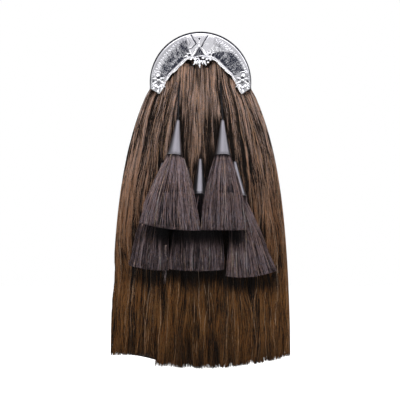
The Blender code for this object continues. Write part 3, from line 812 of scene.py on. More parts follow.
def comb_round_thongs(x, z):
    """Part the hair at the two upper thongs and their cones. Returns x, and the banks' height."""
    bank = np.zeros_like(x)
    for tassel in TASSELS[:2]:
        line = np.array(thong_line(tassel))[::-1]
        middle = np.interp(z, line[:, 2], line[:, 0])
        opened = smooth_step(PARTING_TOP_Z, PARTING_TOP_Z - OPENING_LENGTH, z)
        gap = PARTING_HALF_GAP * opened * smooth_step(tassel.base[2] - 0.030, tassel.base[2], z)
        away = x - middle
        pushed = gap + np.abs(away) * (PARTING_REACH - gap) / PARTING_REACH
        x = np.where(np.abs(away) < PARTING_REACH, middle + np.sign(away) * pushed, x)
        fade = smooth_step(tassel.tip[2] + BANK_FADE[0], tassel.tip[2] + BANK_FADE[1], z)
        ridge = bell(np.abs(x - middle) - BANK_AWAY, BANK_WIDTH)
        bank = np.maximum(bank, PARTING_BANK * opened * fade * ridge)
    return x, bank


def cover_thongs(x, y, z):
    """Over the thongs: how far forward the hair lies, how much it covers one, and the painted shade
    along its line.
    """
    lift, cover, seam = np.zeros((3, *x.shape))
    for k, tassel in enumerate(TASSELS):
        line = np.array(thong_line(tassel))[::-1]
        middle, forward = (np.interp(z, line[:, 2], line[:, c]) for c in (0, 1))
        forward = forward - THONG_D / 2 - COVER_CLEARANCE
        low = PARTING_TOP_Z - 0.012 if k < 2 else tassel.tip[2] - 0.001
        high = (PARTING_TOP_Z if k < 2 else tassel.tip[2]) + 0.004
        shown = smooth_step(low, high, z)
        over = bell(x - middle, COVER_WIDTH) * shown
        lift = np.maximum(lift, np.maximum(0, y - forward) * over)
        cover = np.maximum(cover, over)
        # seam is the painted shade along the thong's line
        seam = np.maximum(seam, SEAM_TONE * bell(x - middle, SEAM_WIDTH) * shown)
    return lift, cover, seam


def tassel_outline(tassel):
    """Heights from hem to cone tip, and where the tassel's left and right sides lie at them."""
    rows = [(end[2], end[0] - radius, end[0] + radius)
            for end, radius in ((tassel.tip, CONE_TIP_R), (tassel.base, CONE_BASE_R))]
    for (share, _, _), (left, right) in zip(tassel.skirt, tassel.edges):
        rows.append((tassel.base[2] + share * (tassel.hem_z - tassel.base[2]), left, right))
    return np.array(rows)[::-1].T


# Painted shade on the fall: how much darker it is beside a skirt, on top of that beside a cone,
# under a hem, and in the dip on the outer side of an upper thong and its cone. Then how far each
# reaches sideways.
BESIDE_GLOOM, CONE_GLOOM, HEM_GLOOM, DIP_GLOOM = 0.42, 0.12, 0.95, 0.34
BESIDE_REACH, HEM_REACH, DIP_REACH = 0.0088, 0.004, 0.011


def tassel_gloom(x, z):
    """Painted shade: how much darker the fall is close beside the cones and skirts and under the
    hems.
    """
    gloom = np.zeros_like(x)
    for k, tassel in enumerate(TASSELS):
        levels, lefts, rights = tassel_outline(tassel)
        hem, top, cone_base = levels[0], levels[-1], tassel.base[2]
        left, right = np.interp(z, levels, lefts), np.interp(z, levels, rights)
        away = np.maximum(np.maximum(left - x, x - right), 0)
        level = smooth_step(hem - 0.004, hem + 0.004, z) * smooth_step(top + 0.014, top - 0.004, z)
        below = smooth_step(hem - 0.020, hem - 0.006, z) * (z < hem + 0.004)
        beside_cone = smooth_step(cone_base - 0.02, cone_base + 0.01, z)
        beside = (BESIDE_GLOOM + CONE_GLOOM * beside_cone) * np.exp(-away / BESIDE_REACH) * level
        gloom = np.maximum(gloom, beside)
        gloom = np.maximum(gloom, HEM_GLOOM * bell(away, HEM_REACH) * below)
        if k < 2:
            outer = (left - x, x - right)[k]
            dip = bell(outer, DIP_REACH) * smooth_step(-0.001, 0.001, outer)
            dip = dip * smooth_step(-0.005, -0.055, z)
            dip = dip * smooth_step(cone_base - 0.045, cone_base - 0.015, z)
            gloom = np.maximum(gloom, DIP_GLOOM * dip)
    return gloom


def fall_light(place, down):
    """Painted light and shade on the fall: how much lighter it is, for places across it (-1 to 1)
    and down it (0 to 1).
    """
    out, left, right = np.abs(place), place < 0, place > 0
    shoulders = smooth_step(0.25, 0.60, out) * smooth_step(0.36, 0.20, down)
    sides = smooth_step(0.60, 0.85, out) * smooth_step(0.30, 0.48, down)
    return (
        np.where(left, 0.48, 0.28) * sides * smooth_step(0.86, 0.74, down)
        - np.where(right, 0.30, 0.23) * shoulders
        - 0.09 * smooth_step(0.12, 0.26, down)
        - 0.07 * smooth_step(0.22, 0.10, down) * bell(out, 0.30)  # under the cluster
        - 0.30 * right * smooth_step(0.18, 0.28, down) * smooth_step(0.58, 0.46, down)
        - 0.10 * left * bell(out - 0.55, 0.25) * bell(down - 0.18, 0.08)
    )


class FallStyle(NamedTuple):
    """How one layer of the fall's strands lies."""

    side: int  # -1 the front, 1 the back
    root_z: float  # the highest root
    steps: int
    locks: int


FRONT = FallStyle(side=-1, root_z=0.044, steps=29, locks=105)
BACK = FallStyle(side=1, root_z=-0.020, steps=12, locks=60)
LAYER_DEPTH = 0.0030
ROOT_HALF_WIDTH, ROOTS_OVER_ARCH = 0.060, 0.009
LOCK_BLUR = 0.6  # in locks
LOCK_SLANT, STRAND_SLANT = 0.034, 0.014
WANDERERS, WANDER_SLANT = 0.16, 0.10  # the share of strands that cross their lock, and how steeply
ROOT_SPREAD = 0.004
TRIMS = (  # (up to this share of the strands, lowest end over the hem, highest)
    (0.82, -0.0022, 0.0026), (0.96, 0.003, 0.014), (1.0, 0.03, 0.14),
)
WAVES = ((0.020, 4, 2), (0.0150, 17, 7), (0.0070, 44, 16))  # (size, cells across, cells down)
KINK, SIDE_INSET = 0.0015, 0.994
# Painted shade on strands that lie deep in a layer, and a painted highlight on strands that lean.
FALL_TONE, DEEP_TONE, LEAN_TONE = 0.46, 0.42, 0.14
LOCK_TONES, STRAND_TONES, WANDER_TONE = 0.16, 0.26, 0.10
TONE_CLOUDS = ((0.08, 14, 4), (0.20, 64, 24))  # (size, cells across, cells down)
PALE_IN_FALL = 0.06


def fall_roots(share, style):
    """The heights of the roots: along the arch in front, level behind."""
    x = share * ROOT_HALF_WIDTH
    arch = ARCH_CENTRE_Z + np.sqrt(np.maximum(ARCH_R**2 - x**2, 0)) + ROOTS_OVER_ARCH
    hidden = np.where(np.abs(share) > 0.80, -0.004, np.minimum(style.root_z, arch))
    return hidden if style.side < 0 else np.full_like(share, style.root_z)


def fall_strands(rng, style, total, radius):
    """Paths, radii, tones and heights of one layer of the fall."""
    share = np.sort(rng.uniform(-1, 1, total))
    share = np.sign(share) * np.abs(share) ** 0.94
    locks = style.locks
    lock = (share + 1) / 2 * locks + rng.normal(0, LOCK_BLUR, total)
    lock = lock.astype(int).clip(0, locks - 1)
    lock_share = (lock + 0.5) / locks * 2 - 1
    phase, depth = rng.uniform(0, 2 * np.pi, (3, locks))[:, lock, None], rng.uniform(0, 1, locks)
    slant = rng.normal(0, LOCK_SLANT, locks)[lock] + rng.normal(0, STRAND_SLANT, total)
    wander = rng.random(total) < WANDERERS
    slant = np.where(wander, rng.uniform(-WANDER_SLANT, WANDER_SLANT, total), slant)

    # From the root down to the hem, where some strands end higher.
    root = fall_roots(share, style) - rng.uniform(0, ROOT_SPREAD, total)
    tip = hem_height(share * HEM_HALF_WIDTH)
    trim = rng.random(total)
    ends = [rng.uniform(lowest, highest, total) for _, lowest, highest in TRIMS]
    tip = tip + np.select([trim < up_to for up_to, _, _ in TRIMS], ends)
    t = short_ended(0, 1, style.steps)
    z = root[:, None] + (tip - root)[:, None] * t
    down = height_share(z)

    # Across: each strand leans towards its lock's line, and the locks wave.
    gather = 0.10 + 0.42 * np.sin(2.3 * down) + 0.14 * np.sin(13 * down + phase[0]) * down
    place = share[:, None] + (lock_share - share)[:, None] * gather
    place = (place + sum_of_fields(rng, WAVES, place, down)
             + 0.0100 * np.sin(17 * down + phase[1]) + slant[:, None] * (down - 0.35))
    eased = smooth_step(0.0, 0.25, down)
    place = np.clip(share[:, None] + (place - share[:, None]) * eased, -1.0, 1.0)
    bends = kinks(rng, total, style.steps) * eased * (0.35 + 0.65 * down)

    # Depth: how deep each strand lies in the layer, from 0 on top to 1.
    layer = np.where(wander, rng.uniform(0, 0.25, total), rng.random(total))
    ridge = 0.30 * np.sin(11 * down + phase[2]) + 0.45 * depth[lock][:, None] - 0.2
    deep = np.clip(0.75 * layer[:, None] + ridge, 0, 1)

    width = half_width(z)
    x = np.clip(place * width + KINK * bends, -width, width) * SIDE_INSET
    if style.side < 0:
        x, bank = comb_round_thongs(x, z)
        y = fall_y(x / width, z, style.side)
        lift, cover, seam = cover_thongs(x, y, z)
        over = smooth_step(0.80, 0.45, deep)
        y = y - np.maximum(lift * np.maximum(over, cover), bank * over)
        y = y + deep * LAYER_DEPTH * (1 - 0.75 * cover) + radius
    else:
        y = fall_y(x / width, z, style.side) - deep * LAYER_DEPTH - radius
    paths = np.stack((x, y, z), axis=-1)

    lean = np.gradient(x - share[:, None] * width, axis=1) / np.gradient(z, axis=1)
    vary = (rng.normal(0, LOCK_TONES, locks)[lock] + rng.normal(0, STRAND_TONES, total)
            + WANDER_TONE * wander)
    tones = FALL_TONE + vary[:, None] * (1 + 1.2 * smooth_step(0.25, 0.6, np.abs(place)))
    # A painted highlight where a strand leans, painted shade where it lies deep, and the painted
    # light and shade by place.
    tones = (tones + sum_of_fields(rng, TONE_CLOUDS, place, down)
             + LEAN_TONE * np.tanh(lean / 0.07) - DEEP_TONE * deep**1.5 + fall_light(place, down))
    if style.side < 0:
        # Painted shade beside and under the tassels, and along the thongs (seam).
        tones = tones - tassel_gloom(x, z) - seam
    pale = (rng.random(total) < PALE_IN_FALL)[:, None] & (tones > 0.05)
    # The pale strands too are darkened as they lie deeper: painted shade.
    tones = np.where(pale, 0.97 - 0.3 * deep, within_limits(rng, tones))
    taper = 1 - 0.5 * smooth_step(0.85, 1.0, t)
    return paths, radius * rng.uniform(0.55, 1.0, total)[:, None] * taper, tones, down


# ---------------------------------------------------------------- the cantle's plane

PANEL_MIDDLE_R = 0.0553
PROFILE_POINTS = np.array(
    [tuple(point)[:2] for point in smooth_through([(s, y, 0) for s, y in CANTLE_PROFILE], 0.01)]
)


def arch_points(share):
    """Points of the arch's edge, for shares of the way along it from its right end."""
    degrees = ARCH_END_DEG + share * (180 - 2 * ARCH_END_DEG)
    over_end = np.minimum(degrees, 180 - degrees)
    flare = ARCH_FLARE * np.maximum(0.0, 1 - over_end / ARCH_FLARE_DEG) ** 2
    off_pinch = np.minimum(1.0, np.abs(over_end - ARCH_PINCH_DEG) / ARCH_PINCH_REACH_DEG)
    radius = ARCH_R - ARCH_PINCH * np.cos(np.pi / 2 * off_pinch) ** 2
    x = radius * np.cos(np.radians(degrees))
    return np.stack((x + np.copysign(flare, x),
                     ARCH_CENTRE_Z + radius * np.sin(np.radians(degrees))), axis=-1)


HALF_ARCH = arch_points(np.linspace(0, 0.5, 60))


def inner_radius(up):
    """Distance from the origin to the arch, in a direction whose sine is up."""
    reach = np.hypot(HALF_ARCH[:, 0], HALF_ARCH[:, 1])
    return np.interp(up, HALF_ARCH[:, 1] / reach, reach)


def plate_y(x, z):
    """The y of the cantle's face at a point of its plane."""
    radius = math.hypot(x, z)
    share = (CANTLE_R - radius) / (CANTLE_R - inner_radius(z / radius))
    return float(np.interp(share, PROFILE_POINTS[:, 0], PROFILE_POINTS[:, 1]))


def panel_point(side, along, across):
    """A point of the left (side -1) or right panel, in metres along the band and outward."""
    angle = math.pi / 2 - side * along / PANEL_MIDDLE_R
    radius = (CANTLE_R + inner_radius(math.sin(angle))) / 2 + across
    return radius * math.cos(angle), radius * math.sin(angle)


CURL_R, CURL_PITCH, CURL_START, CURL_PAIRS = 0.0033, 0.0076, 0.0215, 8
CURL_ACROSS = 0.0040
STEM_START, STEM_LENGTH, STEM_WAVE = 0.018, 0.060, 0.0009


def scroll_lines():
    """Points along the engraved scrolls: two rows of curls, stems between them and leaves."""
    lines = []
    for side in (-1, 1):
        for row in (-1, 1):
            for k in range(CURL_PAIRS):
                middle = CURL_START + (k + 0.25 * row) * CURL_PITCH
                way = 1 if (k + row) % 2 else -1
                curl = []
                for t in np.linspace(0, 1, 70):
                    angle = way * (0.5 + 2.9 * t) * math.pi
                    reach = CURL_R * (1 - 0.85 * t)
                    curl.append(panel_point(side, middle + reach * math.cos(angle),
                                            row * CURL_ACROSS + reach * math.sin(angle)))
                lines.append(curl)
                for lean in (-0.5, 0.2, 0.9):
                    lines.append([
                        panel_point(side, middle + lean * CURL_R * (1 + t),
                                    row * (CURL_ACROSS + CURL_R * (0.75 + 0.75 * t)))
                        for t in np.linspace(0, 1, 12)
                    ])
        lines.append([panel_point(side, STEM_START + STEM_LENGTH * t, STEM_WAVE * math.sin(50 * t))
                      for t in np.linspace(0, 1, 260)])
    return np.concatenate([np.array(line) for line in lines])


GROOVES = (  # engraved lines round the middle, in millimetres: (half width, points)
    (1.05, ((-13.0, 64.9), (-8.2, 56.1))),
    (1.35, ((-8.7, 57.6), (-7.0, 54.6))),
    (1.05, ((9.7, 63.4), (3.9, 54.6), (2.3, 50.5), (1.0, 48.5))),
    (0.95, ((-5.7, 53.1), (-9.0, 50.5), (-12.0, 46.9), (-14.5, 46.5))),
    (0.70, ((-5.5, 48.5), (-4.0, 47.5))),
    (0.60, ((-17.4, 42.6), (-15.6, 42.1), (-13.8, 42.6))),
    (0.80, ((11.6, 43.2), (11.8, 43.2))),
    (0.70, ((15.1, 44.7), (15.3, 44.7))),
    (0.45, ((5.6, 51.2), (8.2, 52.6), (11.2, 52.4))),
    (0.45, ((-17.5, 60.0), (-14.0, 54.6), (-15.8, 50.6))),
)
# Where each panel's dark ground begins, as a share of the band, by metres along it.
DARK_FROM = {
    -1: ((0.0156, 0.029, 0.0418, 0.0557, 0.076), (0.24, 0.30, 0.36, 0.38, 0.52), 0.16),
    1: ((0.015, 0.023, 0.0287, 0.038, 0.046, 0.071), (0.85, 0.72, 0.62, 0.45, 0.27, 0.30), 0.07),
}
PANEL_LOW_ALONG = {-1: 0.0800, 1: 0.0755}
VINE_WIDTH = 0.00046
STEPS_AT, STEP_WIDTH = (0.095, 0.935), 0.018  # the raised lines along the rim and the arch
CLEAR_TARNISH = {-1: 0.40, 1: 0.32}  # on the ground of each panel's bright part
FULL_TARNISH = 1.18


def distance_to(spots, x, z):
    """Distance from each point of the plane to the nearest of the spots."""
    nearest = np.empty(len(x))
    for start in range(0, len(x), 4000):
        block = slice(start, start + 4000)
        gap = np.hypot(x[block, None] - spots[:, 0], z[block, None] - spots[:, 1])
        nearest[block] = gap.min(axis=1)
    return nearest


def cantle_relief(x, z, share, rng, blotches):
    """Height above the plate's smooth face, and the recess mask, at points of its plane."""
    along = np.abs(np.pi / 2 - np.arctan2(z, x)) * PANEL_MIDDLE_R
    right = x > 0
    low = np.where(right, PANEL_LOW_ALONG[1], PANEL_LOW_ALONG[-1])
    inside = (smooth_step(0.115, 0.145, share) * smooth_step(0.915, 0.885, share)
              * smooth_step(0.0168, 0.0180, along) * smooth_step(low + 0.0006, low - 0.0006, along))
    vine = bell(distance_to(scroll_lines(), x, z), VINE_WIDTH)
    # How far the tarnish is kept: each panel's dark part, and a smudge on the right one above it.
    dark = [smooth_step(-blur, blur, share - np.interp(along, places, starts))
            for places, starts, blur in (DARK_FROM[-1], DARK_FROM[1])]
    blotch = blotches(np.where(right, along, -along) / 0.09, np.full(len(x), share))
    smudge = (0.55 * bell(share - 0.42, 0.15) * smooth_step(0.042, 0.030, along)
              * smooth_step(0.017, 0.026, along))
    kept = np.where(right, np.maximum(dark[1], smudge * (0.8 + 0.5 * blotch)), dark[0])
    kept = np.clip(kept * (0.90 + 0.24 * blotch), 0, 1.1)
    stipple = rng.normal(0, 1, len(x))
    ground = inside * (1 - vine)
    height = -ground * (0.8 + 0.12 * stipple) + 0.25 * inside * vine
    clear = np.where(right, CLEAR_TARNISH[1], CLEAR_TARNISH[-1])
    mask = (ground * (clear + (FULL_TARNISH - clear) * kept + 0.22 * stipple)
            + 0.62 * inside * kept * vine + 0.50 * smooth_step(low - 0.0005, low + 0.0010, along))
    for edge in STEPS_AT:
        height += 0.35 * bell(share - edge, STEP_WIDTH)
    for half, points in GROOVES:
        knots = np.array(points) * MM
        t = np.linspace(0, len(knots) - 1, 40)
        line = np.stack([np.interp(t, np.arange(len(knots)), knots[:, c]) for c in (0, 1)], axis=-1)
        cut = smooth_step(half * 1.35 * MM, half * 0.65 * MM, distance_to(line, x, z))
        height, mask = height - 0.9 * cut, np.maximum(mask, 0.95 * cut)
    # Painted shade: the face's outer rim is darkened, as the edge that turns down to the wall.
    rim = smooth_step(0.086, 0.062, share)
    return height, np.clip(np.maximum(mask, 0.98 * rim), 0, 1.3)


# ---------------------------------------------------------------- castings


LEAF_SECTION = ((-1.0, 0.15), (-0.62, 0.92), (-0.12, 0.50), (0.12, 0.50), (0.62, 0.92),
                (1.0, 0.15), (0.6, -0.2), (-0.6, -0.2))  # (out, up), with a sunk midrib


def round_section(sides):
    return [(math.cos(angle), math.sin(angle))
            for angle in (2 * math.pi * j / sides for j in range(sides))]


def mark_recesses(mesh, masks):
    """Keep a mask of the recesses in the mesh's points."""
    mesh.attributes.new("recess", "FLOAT", "POINT").data.foreach_set(
        "value", np.asarray(masks, np.float32))


class Casting:
    """Forms of one casting, drawn in millimetres, x outward from an origin on one side.

    Foot gives the y that the forms stand on, from a point in the cantle's plane.
    """

    def __init__(self, foot, origin_x=0.0, side=1):
        self.shape, self.masks = Shape(), []
        self.foot, self.origin_x, self.side = foot, origin_x, side

    def add(self, form, high, slot):
        """Take in a form that stands this high. The mask is strongest at its foot, 0 on top."""
        self.shape.add(*form, slot)
        for point in form[0]:
            stands = (self.foot(point.x, point.z) - point.y) / (high * MM)
            self.masks.append(float(smooth_step(0.38, 0.03, stands)) * 0.80)

    def mesh(self, name):
        mesh = self.shape.mesh(name)
        mark_recesses(mesh, self.masks)
        return mesh

    def at(self, x, z, lift):
        x, z = self.side * (self.origin_x + x * MM), z * MM
        return Vector((x, self.foot(x, z) - lift * MM, z))

    def sweep(self, stations, section, high, slot=0, closed=False):
        """A form through stations: the middle, the normal, the half width and the height."""
        rings = [[self.at(x + nx * half * out, z + nz * half * out, lift * up)
                  for out, up in section] for (x, z), (nx, nz), half, lift in stations]
        self.add(rings_form(rings, closed), high, slot)

    def lump(self, x, z, wide, tall, high, turn=0.0, slot=0, turns=12, rows=8):
        """A rounded boss, half sunk in what it stands on."""
        angle = math.radians(turn)
        axes = [Vector((self.side * dx, 0, dz)) * reach * MM
                for reach, dx, dz in ((wide, math.cos(angle), math.sin(angle)),
                                      (tall, -math.sin(angle), math.cos(angle)))]
        axes.append(Vector((0, -high * MM, 0)))
        self.add(ball_form(self.at(x, z, 0), axes, turns, rows), high, slot)

    def strip(self, points, widths, high, slot=0, sides=8):
        """A convex strip along points, with a half width for each, half sunk."""
        stations = []
        for k, (point, wide) in enumerate(zip(points, widths)):
            before, after = points[max(k - 1, 0)], points[min(k + 1, len(points) - 1)]
            dx, dz = after[0] - before[0], after[1] - before[1]
            long = math.hypot(dx, dz)
            stations.append((point, (-dz / long, dx / long), wide, high))
        self.sweep(stations, round_section(sides), high, slot)

    def ring(self, x, z, radius, thick, high):
        self.sweep([((x + radius * out, z + radius * up), (out, up), thick, high)
                    for out, up in round_section(24)], round_section(8), high, closed=True)

    def leaf(self, root, tip, wide, high, lobes=3):
        """A lobed leaf, from its root to its tip."""
        dx, dz = tip[0] - root[0], tip[1] - root[1]
        long = math.hypot(dx, dz)
        stations, steps = [], 5 * lobes
        for k in range(steps + 1):
            t = k / steps
            full = math.sin(math.pi * min(0.98, 0.10 + 0.90 * t) ** 0.75)
            notch = 1 - 0.34 * abs(math.sin(math.pi * lobes * t)) if 0 < k < steps else 1.0
            stations.append(((root[0] + dx * t, root[1] + dz * t), (-dz / long, dx / long),
                             wide * max(0.04, full) * notch,
                             high * (0.55 + 0.45 * math.sin(math.pi * t))))
        self.sweep(stations, LEAF_SECTION, high)

    def spike(self, root, tip, wide, high):
        """A pointed petal."""
        shares = np.linspace(0, 1, 6)
        points = [(root[0] + (tip[0] - root[0]) * t, root[1] + (tip[1] - root[1]) * t)
                  for t in shares]
        widths = [wide * max(0.06, (1 - t) ** 0.6 * (0.75 + 0.9 * t)) for t in shares]
        self.strip(points, widths, high, sides=6)


# ---------------------------------------------------------------- the pieces


class SPORRAN_OT_thongs(Operator):
    """The leather thongs that the tassels hang on"""

    bl_idname = "sporran.thongs"
    bl_label = "Tassel thongs"

    def execute(self, context):
        look = leather_material("thong_leather", grain_scale=1500.0, wear=0.1, roughness=0.62,
                                raised=0.35, specular=0.06)
        for tassel in TASSELS:
            points = thong_line(tassel)
            curve = bpy.data.curves.new(f"lace_{tassel.name}", "CURVE")
            curve.dimensions = "3D"
            curve.bevel_depth = THONG_D / 2
            curve.bevel_resolution = 4
            curve.use_fill_caps = True
            spline = curve.splines.new("POLY")
            spline.points.add(len(points) - 1)
            spline.points.foreach_set("co", [c for point in points for c in (*point, 1.0)])
            spline.use_smooth = True
            thong = add_object(f"lace_{tassel.name}", curve, [look], "black_leather",
                               f"thong_{tassel.name}")
        return {"FINISHED"}


class SPORRAN_OT_cones(Operator):
    """The hollow bell cones of black leather"""

    bl_idname = "sporran.cones"
    bl_label = "Tassel cones"

    SPOKES = 48
    WAIST = 0.0005  # how far the cone's line is drawn in at its middle
    RIM = (  # a pressed line over a turned edge: (inset, height above the cone's end)
        (0.0005, 0.0026), (0.0012, 0.0020), (0.0002, 0.0014), (0.0, 0.0008), (0.0004, 0.0),
        (CONE_WALL, 0.0),
    )

    def execute(self, context):
        look = leather_material("cone_leather", grain_scale=1300.0, wear=0.25, roughness=0.32,
                                raised=0.10, specular=0.80)
        join(look.node_tree.nodes["Principled BSDF"], IOR=2.0,
             Specular_Tint=(0.94, 0.91, 1.0, 1.0))
        middle_r = 0.48 * CONE_BASE_R + 0.52 * CONE_TIP_R
        for tassel in TASSELS:
            tip, base = Vector(tassel.tip), Vector(tassel.base)
            long = (base - tip).length
            outer = [(CONE_TIP_R - 0.0004, 0.0), (CONE_TIP_R, 0.0004)]
            for t in np.arange(1, 16) / 16:
                straight = CONE_TIP_R + (CONE_BASE_R - CONE_TIP_R) * t
                outer.append((straight - self.WAIST * math.sin(math.pi * t), long * t))
            rim = [(CONE_BASE_R - inset, long - above) for inset, above in self.RIM]
            inner = [(middle_r - CONE_WALL, long / 2), (CONE_TIP_R - CONE_TIP_WALL, 0.0)]
            name = f"bell_{tassel.name}"
            form = lathe_form(outer + rim + inner, self.SPOKES, tip, base - tip)
            add_object(name, form_mesh(name, form), [look], "cone_leather", f"cone_{tassel.name}")
        return {"FINISHED"}


class SPORRAN_OT_hair_fall(Operator):
    """The long brown hair: a dark core under several thousand strands"""

    bl_idname = "sporran.hair_fall"
    bl_label = "Hair fall"

    CORE_ROWS, CORE_SPOKES = 40, 120
    CORE_TOP_Z, CORE_INSET, CORE_HEM_INSET = 0.046, 0.0032, 0.0045
    # Short dark strands that paint the shadow under the arch and the cluster.
    ROOTS_ON_ARCH, ROOTS_ON_CLUSTER = 520, 240
    CLUSTER_EDGE = ((-17.7, 30.1), (-13.7, 26.1), (-7.7, 21.8), (-1.1, 16.8), (4.4, 21.8),
                    (10.4, 24.0), (15.5, 28.1))  # in millimetres

    def core(self, look):
        turn = 2 * np.pi * np.arange(self.CORE_SPOKES) / self.CORE_SPOKES
        lateral, side = -np.cos(turn), np.where(turn < np.pi, -1, 1)
        low = hem_height(lateral * HEM_HALF_WIDTH) + self.CORE_HEM_INSET
        rings, downs = [], []
        for t in np.linspace(0, 1, self.CORE_ROWS):
            z = self.CORE_TOP_Z + (low - self.CORE_TOP_Z) * t
            inset = self.CORE_INSET * np.abs(np.sin(turn)) ** 0.5
            x = lateral * (half_width(z) - self.CORE_INSET)
            rings.append(np.stack((x, fall_y(lateral, z, side) - side * inset, z), axis=-1))
            downs.append(height_share(z.mean()))
        add_object("hair_core", core_mesh("hair_core", rings, downs), [look], "brown_hair",
                   "hair_body")

    def roots(self, rng, radius):
        """Short dark strands along the arch and under the cluster, where the fall comes out from
        under: a painted shadow below the cantle's edge and the cluster.
        """
        t, knots = np.array((0.0, 0.5, 1.0)), np.array(self.CLUSTER_EDGE) * MM
        edge = arch_points(rng.uniform(0.05, 0.95, self.ROOTS_ON_ARCH))
        inward = np.array((0.0, ARCH_CENTRE_Z)) - edge
        edge = edge + unit(inward) * rng.uniform(-0.0004, 0.0022, len(edge))[:, None]
        place = rng.uniform(0, len(knots) - 1, self.ROOTS_ON_CLUSTER)
        under = np.stack([np.interp(place, np.arange(len(knots)), knots[:, c]) for c in (0, 1)],
                         axis=-1) + rng.uniform((0, -0.0010), (1e-9, 0.0018), (len(place), 2))
        edge = np.concatenate((edge, under))
        total = len(edge)
        z = edge[:, 1:] - rng.uniform(0.0010, 0.0026, total)[:, None] * t
        x = edge[:, :1] * np.ones(3)
        y = fall_y(x / half_width(z), z, -1) - rng.uniform(0.0002, 0.0008, total)[:, None]
        return [np.stack((x, y, z), axis=-1), radius * np.ones((total, 3)),
                rng.uniform(0.01, 0.12, total)[:, None] * np.ones(3), height_share(z)]

    def execute(self, context):
        hair = settings().hair
        look = hair_material("brown_horsehair", hair.low_dark, hair.low_light, hair.top_dark,
                             hair.top_light, hair.pale, 0.60)
        rng = np.random.default_rng(SEED)
        self.core(look)
        front = fall_strands(rng, FRONT, hair.front, hair.radius)
        back = fall_strands(rng, BACK, hair.back, hair.radius * 1.2)
        third = hair.front // 3
        for name, strands in (
            ("hair_left", [values[:third] for values in front]),
            ("hair_middle", [values[third : 2 * third] for values in front]),
            ("hair_right", [values[2 * third :] for values in front]),
            ("hair_back", back),
            ("hair_roots", self.roots(rng, hair.radius)),
        ):
            add_object(name, strands_mesh(name, *strands), [look], "brown_hair", "hair_body")
        return {"FINISHED"}


